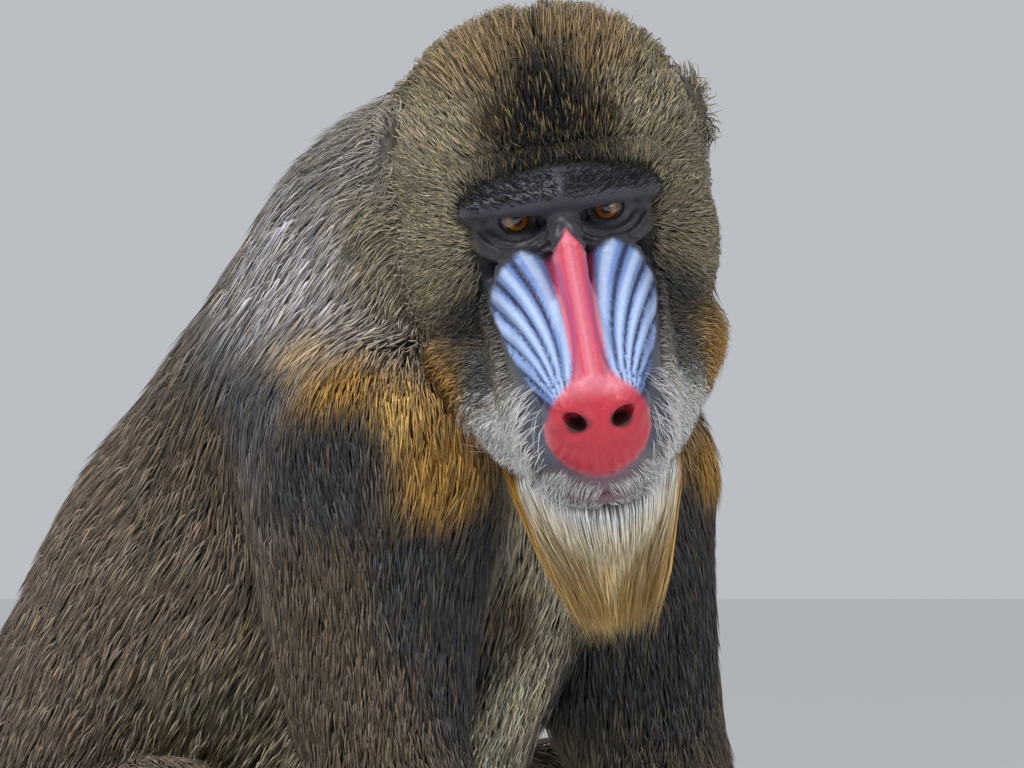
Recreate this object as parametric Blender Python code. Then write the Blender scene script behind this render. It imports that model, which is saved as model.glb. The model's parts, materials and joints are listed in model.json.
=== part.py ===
"""Adult male mandrill sitting on its rump, life size, as a still museum model.

Metres, +Z up. The body faces -Y with its left side at +X, and the head is turned to its right shoulder.
The surface of the solids is the outside of the coat.
The origin is on the floor under the middle of the model.
"""

import math
import random

import bmesh
import bpy
from mathutils import Matrix, Vector
from mathutils.bvhtree import BVHTree

# Driving dimensions
GAP = 0.0003  # clearance that two nodes keep where they touch
HEAD_TURN = math.radians(-46)  # towards the right shoulder
HEAD_TILT = math.radians(-8)
HEAD_PITCH = math.radians(18)
EYES_AT = Vector((-0.102, -0.190, 0.591))  # middle of the line between the eyes
EYE_SPACING = 0.054
EYE_RADIUS = 0.0118

SIDES = {"left": 1, "right": -1}

# Joints of the skeleton, for the left side where they are paired
SHOULDER = Vector((0.099, -0.045, 0.435))
ELBOW = Vector((0.121, -0.070, 0.250))
WRIST = Vector((0.076, -0.180, 0.062))
HIP = Vector((0.075, 0.260, 0.120))
KNEE = Vector((0.186, 0.060, 0.214))
ANKLE = Vector((0.168, -0.062, 0.054))

PALM_STEP = Vector((0, -0.026, -0.036))  # from the wrist to the heel of the hand
HEEL_STEP = Vector((-0.002, 0.020, -0.030))  # from the ankle to the heel
SEAT_PAD = Vector((0.042, 0.338, 0.036))
TAIL_ROOT = Vector((0, 0.392, 0.190))
TAIL_TIP = Vector((0, 0.442, 0.240))
NECK_BASE = Vector((0, -0.004, 0.548))
DOME_AT = (0, -0.088, 0.002)  # middle of the cranium: across, ahead and up from the eye line
EYE_AHEAD = -0.0125
EAR_AT = (0.088, -0.110, 0.022)  # across, ahead and up from the middle of the eye line
SWELLING_TOP = (0.0270, 0.014, -0.0300)
SWELLING_LOW = (0.0190, 0.106, -0.0690)
SWELLING_TOP_RADIUS = 0.0180
SWELLING_LOW_RADIUS = 0.0120
RIDGE_STAGES = (-0.06, 0.30, 0.65, 0.98)  # shares of the way down a swelling
RIDGE_RADII = (0.0040, 0.0044, 0.0038, 0.0028)
MOUTH_FRONT_AHEAD = 0.120
MOUTH_FRONT_UP = -0.1340
MOUTH_RISE = 0.12  # how much the line of the mouth climbs for each metre back
CHEEK_ACROSS = 0.066
RIDGES = 5
EYE_SEGMENTS = 12
LIP_STEPS = 10

# Fingers and toes: how far across from the limb's end, and how long
FINGERS = ((-0.0215, 0.046), (-0.0075, 0.055), (0.0070, 0.053), (0.0205, 0.042))
TOES = ((-0.0120, 0.046), (0.0010, 0.052), (0.0135, 0.048), (0.0250, 0.038))

# Planes that part the nodes: a point and the direction of the piece that is parted
FLOOR = (Vector((0, 0, 0)), Vector((0, 0, 1)))
HEAD_CUT = (Vector((-0.022, -0.082, 0.585)), Vector((-0.260, -0.806, 0.532)).normalized())
NECK_PLANE = ((0, 0.030, 0.520), (0, -0.42, 0.91))
CHEST_PLANE = ((0, 0.120, 0.365), (0, -0.61, 0.79))
RUMP_PLANE = ((0, 0.220, 0.200), (0, 0.88, -0.47))
JAW_PLANE = ((0, -MOUTH_FRONT_AHEAD, MOUTH_FRONT_UP), (0, -MOUTH_RISE, -1))
CROWN_PLANE = ((0, -0.020, 0.036), (0, 0.18, 1))
NOSE_PLANE = ((0, -0.118, -0.055), (0, -0.979, 0.2045))

# Locks: length, width and rise over the coat, and where they stand, in degrees round their mass
CREST_LOCK = (0.040, 0.020, 0.24)
CREST_TILTS = (52, 70, 88, 106, 124)
CREST_TURNS = ((-24, -8, 8, 24), (-16, 0, 16))
RUFF_LOCK = (0.044, 0.024, 0.24)
RUFF = ((46, (-44, -14, 12)), (72, (-58, -32, -6, 20)), (104, (-46, -20, 6)))
WHISKER_LOCK = (0.034, 0.015, 0.30)
WHISKERS = 6
BEARD_LOCK = (0.021, 0.12)
BEARD_AT = (0, 0.062, -0.150)
BEARD_END = (0, 0.060, -0.188)
BEARD_TIP = (0, 0.058, -0.262)
BEARD_THICKNESS = 0.032
BEARD_SPREAD = 0.4
JAW_LOCK = (0.046, 0.020, 0.25)
BEARD = (
    (-4, (-84, -52, -18, 18, 52, 84), 0.066),
    (-34, (-70, -35, 0, 35, 70), 0.062),
    (-62, (-60, 60), 0.052),
    (-16, (-138, 138), 0.058),
)
MANTLE_LOCK = (0.072, 0.032, 0.21)
SHOULDER_LOCK = (0.070, 0.032, 0.10)
WITHERS_STEP = 19
SHOULDER_ROOTS = ((30, 10), (62, 26), (96, 12), (126, 26), (74, -20))

# Regions that part the nodes: each plane has a point and its outward direction
ARM_REGION = [
    ((0.080, -0.035, 0.400), (-0.94, 0.34, 0)),
    ((0.150, 0.064, 0.400), (0, 0.93, -0.37)),
    ((0.130, -0.068, 0.246), (-0.10, -0.42, -0.90)),
    ((0.106, -0.045, 0.545), (0, 0, 1)),
]
THIGH_REGION = [
    ((0.080, 0.200, 0.150), (-0.98, 0.10, 0.16)),
    ((0.120, 0.200, 0.262), (0, 0.25, 0.97)),
    ((0.186, 0.060, 0.214), (0.24, -0.93, -0.27)),
]
MUZZLE_REGION = [
    ((0, -0.006, -0.018), (0, 0.69, 0.72)),
    ((0, 0.004, -0.060), (0, 1, 0)),
    ((0.054, 0, 0), (1, 0, 0)),
    ((-0.054, 0, 0), (-1, 0, 0)),
]

# Build values
LOCK_STRAY = 0.18  # how far a lock may swing to either side of its lie
LOCK_LENGTHS = (0.86, 1.10)  # shares of the named length that a lock may have
LOCK_WIDTHS = (0.88, 1.12)
LOCK_TAPER = (0.80, 1.0, 0.70)  # shares of the width at the root, the middle and below the tip
LOCK_SINK = 0.007  # how deep a lock's root is set in its node
LOCK_FLATNESS = 0.26
REACH = 0.25  # from how far outside a lock's root is looked for
LOCK_NODES = (
    "crown",
    "cheek_left",
    "cheek_right",
    "muzzle",
    "lower_jaw",
    "neck",
    "upper_arm_left",
    "upper_arm_right",
    "chest",
)
CLEAR = 0.0005  # how far a piece is cut back from a neighbour that it would cross
SCRAP_VOLUME = 1e-6
ROUGH_MARGIN = 0.004
BODY_TRIANGLES = 3000
HEAD_TRIANGLES = 3200
HAND_TRIANGLES = 340
FOOT_TRIANGLES = 340
SHARP_ANGLE = math.radians(50)
FLAT_ANGLE = math.radians(7)
STAND_AT = Vector((0, -0.073, 0))

# Finish of each part: colour and roughness
FUR_OLIVE = ((0.150, 0.120, 0.070), 0.85)
FUR_DARK = ((0.060, 0.050, 0.045), 0.85)
FUR_BROWN = ((0.080, 0.060, 0.045), 0.85)
FINISHES = {
    "head": FUR_OLIVE,
    "crown": FUR_OLIVE,
    "cheek": FUR_OLIVE,
    "muzzle": ((0.220, 0.360, 0.680), 0.45),
    "nose": ((0.560, 0.050, 0.070), 0.40),
    "lower_jaw": ((0.560, 0.370, 0.120), 0.85),
    "ear": ((0.180, 0.120, 0.110), 0.60),
    "eye": ((0.160, 0.060, 0.015), 0.10),
    "neck": FUR_DARK,
    "chest": FUR_BROWN,
    "abdomen": FUR_BROWN,
    "rump": FUR_BROWN,
    "tail": FUR_BROWN,
    "upper_arm": FUR_DARK,
    "forearm": FUR_DARK,
    "hand": ((0.030, 0.026, 0.026), 0.55),
    "thigh": FUR_BROWN,
    "shank": FUR_BROWN,
    "foot": ((0.030, 0.026, 0.026), 0.55),
}

HEAD_PLACE = (
    Matrix.Translation(EYES_AT)
    @ Matrix.Rotation(HEAD_TURN, 4, "Z")
    @ Matrix.Rotation(HEAD_TILT, 4, "Y")
    @ Matrix.Rotation(HEAD_PITCH, 4, "X")
)

NECK_END = HEAD_PLACE @ Vector((0, 0.120, -0.010))


def clear_scene():
    for obj in list(bpy.data.objects):
        bpy.data.objects.remove(obj, do_unlink=True)


def on_side(point, side):
    """The point for the left side, or its mirror image for the right."""
    return Vector((point[0] * side, point[1], point[2]))


def head_point(across, ahead, up):
    """A place on the upright head, from the middle of the eye line, carried to where the head is turned."""
    return HEAD_PLACE @ Vector((across, -ahead, up))


# Shapes


def add_capsule(bm, start, end, start_radius, end_radius, flat=1.0, up=(0, 0, 1), segments=20):
    """A sphere pulled apart between two points, each half with its own radius; flat squeezes it along up."""
    made = bmesh.ops.create_uvsphere(bm, u_segments=segments, v_segments=12, radius=1.0)
    start, end = Vector(start), Vector(end)
    along = (end - start).normalized() if (end - start).length > 1e-6 else Vector((0, 0, 1))
    thin = Vector(up) - along * Vector(up).dot(along)
    thin = thin.normalized() if thin.length > 1e-4 else along.orthogonal().normalized()
    wide = along.cross(thin)
    for vert in made["verts"]:
        x, y, z = vert.co
        centre, radius = (end, end_radius) if z > 0 else (start, start_radius)
        vert.co = centre + (wide * x + thin * (y * flat) + along * z) * radius


def add_ellipsoid(bm, centre, radii, turn=None, segments=28):
    """An ellipsoid with radii along its own axes, which turn may rotate."""
    place = Matrix.Translation(Vector(centre)) @ (turn or Matrix.Identity(4))
    matrix = place @ Matrix.Diagonal((*radii, 1.0))
    rings = segments * 2 // 3
    bmesh.ops.create_uvsphere(bm, u_segments=segments, v_segments=rings, radius=1.0, matrix=matrix)


def object_from(bm, name):
    mesh = bpy.data.meshes.new(name)
    bm.to_mesh(mesh)
    bm.free()
    obj = bpy.data.objects.new(name, mesh)
    bpy.context.scene.collection.objects.link(obj)
    return obj


def apply_modifiers(obj):
    """Turns the object's evaluated shape into its mesh."""
    bpy.context.view_layer.update()
    graph = bpy.context.evaluated_depsgraph_get()
    mesh = bpy.data.meshes.new_from_object(obj.evaluated_get(graph))
    old = obj.data
    obj.modifiers.clear()
    obj.data = mesh
    bpy.data.meshes.remove(old)


def triangle_count(obj):
    return sum(len(face.vertices) - 2 for face in obj.data.polygons)


def fuse(obj, voxel, rounds):
    """Makes one even skin of the overlapping shapes and rounds off their creases."""
    remesh = obj.modifiers.new("skin", "REMESH")
    remesh.mode = "VOXEL"
    remesh.voxel_size = voxel
    smooth = obj.modifiers.new("round", "SMOOTH")
    smooth.factor = 0.5
    smooth.iterations = rounds
    apply_modifiers(obj)


def thin_out(obj, triangles):
    """Keeps about this many triangles, most of them where the surface bends."""
    decimate = obj.modifiers.new("thin_out", "DECIMATE")
    decimate.ratio = min(1.0, triangles / triangle_count(obj))
    decimate.use_collapse_triangulate = True
    apply_modifiers(obj)


def largest_body(obj):
    """Drops every loose scrap but the largest closed surface."""
    bodies = loose_bodies(obj)
    keep_vertices(obj, max(bodies, key=lambda verts: body_volume(obj, verts)))


def keep_vertices(obj, keep):
    """Deletes every vertex whose index isn't in keep."""
    bm = bmesh.new()
    bm.from_mesh(obj.data)
    bmesh.ops.delete(bm, geom=[v for v in bm.verts if v.index not in keep], context="VERTS")
    bm.to_mesh(obj.data)
    bm.free()


def loose_bodies(obj):
    """Sets of vertex indices, one for each piece of the mesh that isn't joined to the others."""
    bm = bmesh.new()
    bm.from_mesh(obj.data)
    unseen, bodies = set(bm.verts), []
    while unseen:
        stack, body = [unseen.pop()], set()
        while stack:
            vert = stack.pop()
            body.add(vert.index)
            for edge in vert.link_edges:
                other = edge.other_vert(vert)
                if other in unseen:
                    unseen.discard(other)
                    stack.append(other)
        bodies.append(body)
    bm.free()
    return bodies


def body_volume(obj, verts):
    """Volume of the bounding box of these vertices, enough to rank pieces by size."""
    points = [obj.data.vertices[i].co for i in verts]
    sides = [max(p[k] for p in points) - min(p[k] for p in points) for k in range(3)]
    return sides[0] * sides[1] * sides[2]


def boolean(obj, other, operation, solver="EXACT"):
    """Cuts other from obj, or joins it to obj. other is one object, or a collection of them."""
    modifier = obj.modifiers.new(operation.lower(), "BOOLEAN")
    modifier.operation = operation
    modifier.solver = solver
    if isinstance(other, bpy.types.Collection):
        modifier.operand_type = "COLLECTION"
        modifier.collection = other
    else:
        modifier.object = other
    apply_modifiers(obj)


def keep_side(obj, point, normal):
    """Cuts the object by a plane, keeps what lies on the side that normal points to, and closes the cut."""
    bm = bmesh.new()
    bm.from_mesh(obj.data)
    geom = bm.verts[:] + bm.edges[:] + bm.faces[:]
    bmesh.ops.bisect_plane(bm, geom=geom, plane_co=point, plane_no=normal, clear_inner=True, dist=1e-6)
    rim = [edge for edge in bm.edges if edge.is_boundary]
    bmesh.ops.holes_fill(bm, edges=rim, sides=0)
    bmesh.ops.triangulate(bm, faces=bm.faces)
    bmesh.ops.recalc_face_normals(bm, faces=bm.faces)
    bm.to_mesh(obj.data)
    bm.free()


def trim(obj, planes, triangles):
    """Thins the mesh out between two cuts, a rough one just outside the planes and a true one on them."""
    for point, normal in planes:
        keep_side(obj, Vector(point) - Vector(normal) * ROUGH_MARGIN, normal)
    thin_out(obj, triangles)
    for point, normal in planes:
        keep_side(obj, point, normal)


def lighten(obj):
    """Joins faces that lie nearly in one plane, such as the slivers beside a cut."""
    bm = bmesh.new()
    bm.from_mesh(obj.data)
    bmesh.ops.dissolve_limit(bm, angle_limit=FLAT_ANGLE, verts=bm.verts, edges=bm.edges)
    bmesh.ops.triangulate(bm, faces=bm.faces)
    bm.to_mesh(obj.data)
    bm.free()


def copy_of(obj, name):
    twin = bpy.data.objects.new(name, obj.data.copy())
    bpy.context.scene.collection.objects.link(twin)
    return twin


def split_off(rest, name, point, normal):
    """Parts what lies beyond the plane from the rest, with the clearance between the two."""
    point, normal = Vector(point), Vector(normal).normalized()
    piece = copy_of(rest, name)
    keep_side(piece, point + normal * GAP / 2, normal)
    keep_side(rest, point - normal * GAP / 2, -normal)
    return piece


def convex(planes, grow):
    """The space that lies behind every plane, each moved outwards by grow, as a cutter."""
    bm = bmesh.new()
    bmesh.ops.create_cube(bm, size=2.5)
    cutter = object_from(bm, "cutter")
    for point, normal in planes:
        normal = Vector(normal).normalized()
        keep_side(cutter, Vector(point) + normal * grow, -normal)
    cutter.hide_render = True
    cutter.display_type = "WIRE"
    return cutter


def region_off(rest, name, planes):
    """Parts what lies in a convex region from the rest, with the clearance between the two."""
    piece = copy_of(rest, name)
    for obj, operation, grow in ((piece, "INTERSECT", -GAP / 2), (rest, "DIFFERENCE", GAP / 2)):
        cutter = convex(planes, grow)
        boolean(obj, cutter, operation)
        bpy.data.objects.remove(cutter)
    largest_body(piece)
    return piece


def split_bodies(whole, seeds):
    """Makes an object of each loose body, named by the seed point that lies nearest to its middle."""
    for body in loose_bodies(whole):
        points = [whole.data.vertices[i].co for i in body]
        middle = sum(points, Vector()) / len(points)
        name = min(seeds, key=lambda n: (Vector(seeds[n]) - middle).length)
        if body_volume(whole, body) < SCRAP_VOLUME:
            continue
        if name in bpy.data.objects:
            raise RuntimeError(f"two pieces lie nearest to {name}, one of them round {middle}")
        bm = bmesh.new()
        bm.from_mesh(whole.data)
        bmesh.ops.delete(bm, geom=[v for v in bm.verts if v.index not in body], context="VERTS")
        object_from(bm, name)
    bpy.data.objects.remove(whole)


def inflated(obj, by):
    """A copy whose surface stands off by this much, to cut other pieces clear with."""
    twin = copy_of(obj, "inflated")
    swell = twin.modifiers.new("swell", "DISPLACE")
    swell.strength = by
    swell.mid_level = 0.0
    apply_modifiers(twin)
    twin.hide_render = True
    twin.display_type = "WIRE"
    return twin


def cut_clear(obj, other):
    """Cuts obj back from where other lies."""
    cutter = inflated(other, CLEAR)
    boolean(obj, cutter, "DIFFERENCE")
    bpy.data.objects.remove(cutter)
    largest_body(obj)


# Coat masses that head and neck share


def head_masses(bm):
    """Crown, cheeks and throat, half way out to the tips of the crest and the ruff."""
    add_head_ellipsoid(bm, DOME_AT, (0.098, 0.095, 0.094))
    add_head_ellipsoid(bm, (0, -0.062, -0.072), (0.080, 0.072, 0.066))
    for side in SIDES.values():
        add_head_ellipsoid(bm, (0.056 * side, -0.056, -0.034), (0.042, 0.056, 0.064))


def neck_mass(bm):
    """From the withers to the back of the head."""
    add_capsule(bm, NECK_BASE, NECK_END, 0.112, 0.094, segments=32)


# Body


def trunk_shapes(bm):
    """Pelvis, loins, ribs and withers from behind forwards, with the chest and belly below."""
    spine = [
        ((0, 0.312, 0.118), 0.112),
        ((0, 0.252, 0.228), 0.132),
        ((0, 0.142, 0.352), 0.150),
        ((0, 0.058, 0.462), 0.133),
        ((0, 0.002, 0.552), 0.120),
    ]
    for (start, first), (end, second) in zip(spine, spine[1:]):
        add_capsule(bm, start, end, first, second, segments=32)
    add_capsule(bm, (0, -0.022, 0.400), (0, 0.040, 0.290), 0.096, 0.094)
    add_capsule(bm, (0, 0.068, 0.240), (0, 0.175, 0.125), 0.104, 0.108)


def arm_shapes(bm, side):
    """From the shoulder blade to just past the wrist."""
    shoulder, elbow, wrist = (on_side(p, side) for p in (SHOULDER, ELBOW, WRIST))
    add_capsule(bm, (0.035 * side, 0.035, 0.470), shoulder, 0.100, 0.076)
    add_capsule(bm, shoulder, elbow, 0.070, 0.047)
    triceps = Vector((0, 0.026, 0))
    upper, lower = shoulder.lerp(elbow, 0.10) + triceps, shoulder.lerp(elbow, 0.80) + triceps / 2
    add_capsule(bm, upper, lower, 0.068, 0.055)
    bulk = elbow.lerp(wrist, 0.28)
    add_capsule(bm, elbow, bulk, 0.050, 0.048)
    add_capsule(bm, bulk, wrist, 0.047, 0.028)
    add_capsule(bm, wrist, wrist + PALM_STEP, 0.028, 0.024)


def leg_shapes(bm, side):
    """From the hip to just past the ankle, with the seat pad under it."""
    hip, knee, ankle = (on_side(p, side) for p in (HIP, KNEE, ANKLE))
    add_capsule(bm, hip, knee, 0.098, 0.056)
    add_capsule(bm, hip.lerp(knee, 0.4), hip.lerp(knee, 0.6), 0.084, 0.076)
    calf = knee.lerp(ankle, 0.35) + Vector((0, 0.012, 0))
    add_capsule(bm, knee, calf, 0.054, 0.050)
    add_capsule(bm, calf, ankle, 0.047, 0.028)
    add_capsule(bm, ankle, ankle + HEEL_STEP, 0.028, 0.025)
    add_capsule(bm, on_side(SEAT_PAD, side), on_side(SEAT_PAD, side) + Vector((0, -0.034, 0)), 0.042, 0.042)


def tail_shape(bm):
    add_capsule(bm, TAIL_ROOT, TAIL_TIP, 0.028, 0.017)


def body():
    """Trunk, tail and limbs as one skin, parted where a person would name its parts."""
    bm = bmesh.new()
    trunk_shapes(bm)
    neck_mass(bm)
    head_masses(bm)
    tail_shape(bm)
    for side in SIDES.values():
        arm_shapes(bm, side)
        leg_shapes(bm, side)
    whole = object_from(bm, "body")
    fuse(whole, voxel=0.006, rounds=16)
    trim(whole, [back_of(HEAD_CUT), FLOOR], BODY_TRIANGLES)
    locks = mantle_locks(whole)
    for word, side in SIDES.items():
        region_off(whole, f"upper_arm_{word}", mirrored(ARM_REGION, side))
        region_off(whole, f"thigh_{word}", mirrored(THIGH_REGION, side))
    seeds = {"trunk": (0, 0.14, 0.32)}
    for word, side in SIDES.items():
        seeds[f"forearm_{word}"] = on_side(ELBOW.lerp(WRIST, 0.5), side)
        seeds[f"shank_{word}"] = on_side(KNEE.lerp(ANKLE, 0.5), side)
    split_bodies(whole, seeds)
    for word, side in SIDES.items():
        keep_side(bpy.data.objects[f"forearm_{word}"], *back_of(wrist_plane(side)))
        keep_side(bpy.data.objects[f"shank_{word}"], *back_of(ankle_plane(side)))
    abdomen = bpy.data.objects["trunk"]
    split_off(abdomen, "neck", *NECK_PLANE)
    split_off(abdomen, "chest", *CHEST_PLANE)
    rump = split_off(abdomen, "rump", *RUMP_PLANE)
    split_off(rump, "tail", TAIL_ROOT + (TAIL_TIP - TAIL_ROOT) * 0.15, TAIL_TIP - TAIL_ROOT)
    abdomen.name = "abdomen"
    return locks


def mirrored(planes, side):
    return [(on_side(point, side), on_side(normal, side)) for point, normal in planes]


def back_of(plane):
    """The plane turned round and drawn back by half the clearance, for the piece that ends there."""
    point, normal = plane
    return point - normal * GAP / 2, -normal


def front_of(plane):
    point, normal = plane
    return point + normal * GAP / 2, normal


def wrist_plane(side):
    return on_side(WRIST, side), on_side(PALM_STEP, side).normalized()


def ankle_plane(side):
    return on_side(ANKLE, side), Vector((0, 0, -1))


# Hands and feet


def add_digit(bm, points, radii):
    for start, end, first, second in zip(points, points[1:], radii, radii[1:]):
        add_capsule(bm, start, end, first, second, segments=12)


def add_nail(bm, tip, length):
    """A flat nail on the upper side of the last joint."""
    add_ellipsoid(bm, tip + Vector((0, -0.0015, 0.0052)), (0.0046, length, 0.0022), segments=12)


def hand(word, side):
    """Palm down on the floor, fingers ahead, the thumb on the inner side."""
    bm = bmesh.new()
    wrist = on_side(WRIST, side)
    add_capsule(bm, wrist, wrist + on_side(PALM_STEP, side), 0.028, 0.024)
    for step in (-0.017, 0, 0.017):
        heel = on_side(WRIST + Vector((step * 0.6, -0.026, -0.040)), side)
        knuckle = on_side(WRIST + Vector((step, -0.072, -0.049)), side)
        add_capsule(bm, heel, knuckle, 0.0200, 0.0150)
    for step, length in FINGERS:
        fan = step * 0.30
        knuckle = on_side(WRIST + Vector((step, -0.070, -0.047)), side)
        joint = on_side(WRIST + Vector((step + fan * 0.5, -0.070 - length * 0.5, -0.044)), side)
        tip = on_side(WRIST + Vector((step + fan, -0.070 - length, -0.0562)), side)
        add_digit(bm, (knuckle, joint, tip), (0.0105, 0.0088, 0.0068))
        add_nail(bm, tip, 0.0062)
    root = on_side(WRIST + Vector((-0.018, -0.038, -0.046)), side)
    joint = on_side(WRIST + Vector((-0.033, -0.060, -0.050)), side)
    tip = on_side(WRIST + Vector((-0.039, -0.080, -0.0562)), side)
    add_digit(bm, (root, joint, tip), (0.0120, 0.0090, 0.0070))
    add_nail(bm, tip, 0.0060)
    finish_paw(bm, f"hand_{word}", wrist_plane(side), HAND_TRIANGLES)


def foot(word, side):
    """Sole flat on the floor, toes ahead, the big toe set off on the inner side."""
    bm = bmesh.new()
    ankle = on_side(ANKLE, side)
    add_capsule(bm, ankle + Vector((0, 0.004, 0.012)), ankle + on_side(HEEL_STEP, side), 0.028, 0.025)
    for step in (-0.016, 0, 0.016):
        heel = on_side(ANKLE + Vector((step * 0.5, 0.008, -0.032)), side)
        ball = on_side(ANKLE + Vector((step * 1.15, -0.100, -0.0405)), side)
        add_capsule(bm, heel, ball, 0.0220, 0.0155)
    add_capsule(bm, ankle + Vector((0, -0.004, -0.004)), ankle + Vector((0, -0.080, -0.030)), 0.025, 0.017)
    for step, length in TOES:
        fan = step * 0.25
        knuckle = on_side(ANKLE + Vector((step, -0.102, -0.040)), side)
        joint = on_side(ANKLE + Vector((step + fan * 0.5, -0.102 - length * 0.55, -0.036)), side)
        tip = on_side(ANKLE + Vector((step + fan, -0.102 - length, -0.0482)), side)
        add_digit(bm, (knuckle, joint, tip), (0.0105, 0.0088, 0.0070))
        add_nail(bm, tip, 0.0058)
    root = on_side(ANKLE + Vector((-0.014, -0.050, -0.036)), side)
    joint = on_side(ANKLE + Vector((-0.031, -0.088, -0.041)), side)
    tip = on_side(ANKLE + Vector((-0.038, -0.118, -0.0472)), side)
    add_digit(bm, (root, joint, tip), (0.0160, 0.0115, 0.0085))
    add_nail(bm, tip + Vector((0, 0, 0.0015)), 0.0075)
    finish_paw(bm, f"foot_{word}", ankle_plane(side), FOOT_TRIANGLES)


def finish_paw(bm, name, plane, triangles):
    """Fuses a hand or foot, flattens it where it bears on the floor and cuts it where the limb meets it."""
    paw = object_from(bm, name)
    fuse(paw, voxel=0.0024, rounds=5)
    trim(paw, [front_of(plane), FLOOR], triangles)
    largest_body(paw)


# Head, upright and facing ahead, then turned into place


def at_head(across, ahead, up):
    """The upright head's own places, from the middle of the eye line, as it faces -Y."""
    return Vector((across, -ahead, up))


def add_face_capsule(bm, start, end, start_radius, end_radius, **more):
    add_capsule(bm, at_head(*start), at_head(*end), start_radius, end_radius, **more)


def add_face_ellipsoid(bm, centre, radii, segments=28):
    add_ellipsoid(bm, at_head(*centre), radii, segments=segments)


def add_head_ellipsoid(bm, centre, radii):
    """An ellipsoid of the upright head, carried to where the head is turned."""
    made = bmesh.ops.create_uvsphere(bm, u_segments=28, v_segments=18, radius=1.0)["verts"]
    scale = Matrix.Diagonal((*radii, 1.0))
    matrix = HEAD_PLACE @ Matrix.Translation(at_head(*centre)) @ scale
    bmesh.ops.transform(bm, matrix=matrix, verts=made)


def brow_and_orbits(bm):
    """The straight bar of the brow, the lids in its shadow, the cheekbones and the bridge of the nose."""
    for side in SIDES.values():
        add_face_capsule(bm, (0, 0.013, 0.0195), (0.054 * side, 0.001, 0.0140), 0.0115, 0.0085)
        add_face_ellipsoid(bm, (EYE_SPACING / 2 * side, -0.0125, 0.0005), (0.0150, 0.0142, 0.0138))
        add_face_capsule(bm, (0.022 * side, 0.002, -0.017), (0.052 * side, -0.014, -0.012), 0.0085, 0.0100)
        add_face_capsule(bm, (0.048 * side, -0.018, 0.004), (0.060 * side, -0.030, -0.004), 0.0120, 0.0140)
    add_face_capsule(bm, (0, -0.007, 0.010), (0, 0.128, -0.0640), 0.0100, 0.0115)


def muzzle_shapes(bm):
    """The long box of the muzzle with its ridged swellings, the nose, the lips and the chin."""
    add_face_capsule(bm, (0, -0.030, -0.052), (0, 0.055, -0.076), 0.047, 0.040)
    add_face_capsule(bm, (0, 0.055, -0.076), (0, 0.108, -0.094), 0.040, 0.033)
    for side in SIDES.values():
        top, low = (on_side(at_head(*place), side) for place in (SWELLING_TOP, SWELLING_LOW))
        add_capsule(bm, top, low, SWELLING_TOP_RADIUS, SWELLING_LOW_RADIUS)
        add_face_capsule(bm, (0.025 * side, 0.004, -0.052), (0.022 * side, 0.092, -0.088), 0.0275, 0.0215)
        add_face_capsule(bm, (0.028 * side, 0.010, -0.080), (0.025 * side, 0.078, -0.102), 0.0270, 0.0215)
        add_face_capsule(bm, (0.030 * side, 0.045, -0.122), (0.054 * side, -0.045, -0.094), 0.026, 0.036)
        add_face_ellipsoid(bm, (0.0165 * side, 0.132, -0.0760), (0.0158, 0.0165, 0.0175))
        add_ridges(bm, side)
    add_face_ellipsoid(bm, (0, 0.131, -0.0890), (0.0310, 0.0165, 0.0285))
    add_face_ellipsoid(bm, (0, 0.088, -0.1040), (0.0465, 0.0420, 0.0290))
    add_face_ellipsoid(bm, (0, 0.070, -0.1370), (0.0370, 0.0400, 0.0225))
    add_face_capsule(bm, BEARD_AT, BEARD_END, 0.033, 0.015)
    lips(bm)


def add_ridges(bm, side):
    """The raised folds of a swelling, fanned from its upper edge down and in to the nostril."""
    start, end = at_head(*SWELLING_TOP), at_head(*SWELLING_LOW)
    along = (end - start).normalized()
    outward = Vector((1, 0, 0)) - along * along.x
    outward.normalize()
    raised = along.cross(outward)
    raised *= math.copysign(1, raised.z)
    for step in range(RIDGES):
        share = step / (RIDGES - 1)
        places = []
        for stage in RIDGE_STAGES:
            turn = math.radians(-52 + 112 * share + 14 * stage * (0.4 - share))
            radius = SWELLING_TOP_RADIUS + (SWELLING_LOW_RADIUS - SWELLING_TOP_RADIUS) * stage
            spot = start.lerp(end, stage) + (raised * math.cos(turn) + outward * math.sin(turn)) * radius
            places.append(on_side(spot, side))
        add_digit(bm, places, RIDGE_RADII)


def lips(bm):
    """Two rolls round the front of the jaws, one on each side of the line of the mouth."""
    for drop, radius, reach in ((0.0052, 0.0058, 0.0), (-0.0056, 0.0054, -0.004)):
        places = []
        for step in range(LIP_STEPS + 1):
            turn = math.pi * (step / LIP_STEPS - 0.5)
            ahead = 0.040 + (0.078 + reach) * math.cos(turn)
            up = MOUTH_FRONT_UP + (MOUTH_FRONT_AHEAD - ahead) * MOUTH_RISE + drop
            places.append(((0.040 + reach) * math.sin(turn), ahead, up))
        for start, end in zip(places, places[1:]):
            add_face_capsule(bm, start, end, radius, radius, segments=8)


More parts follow.
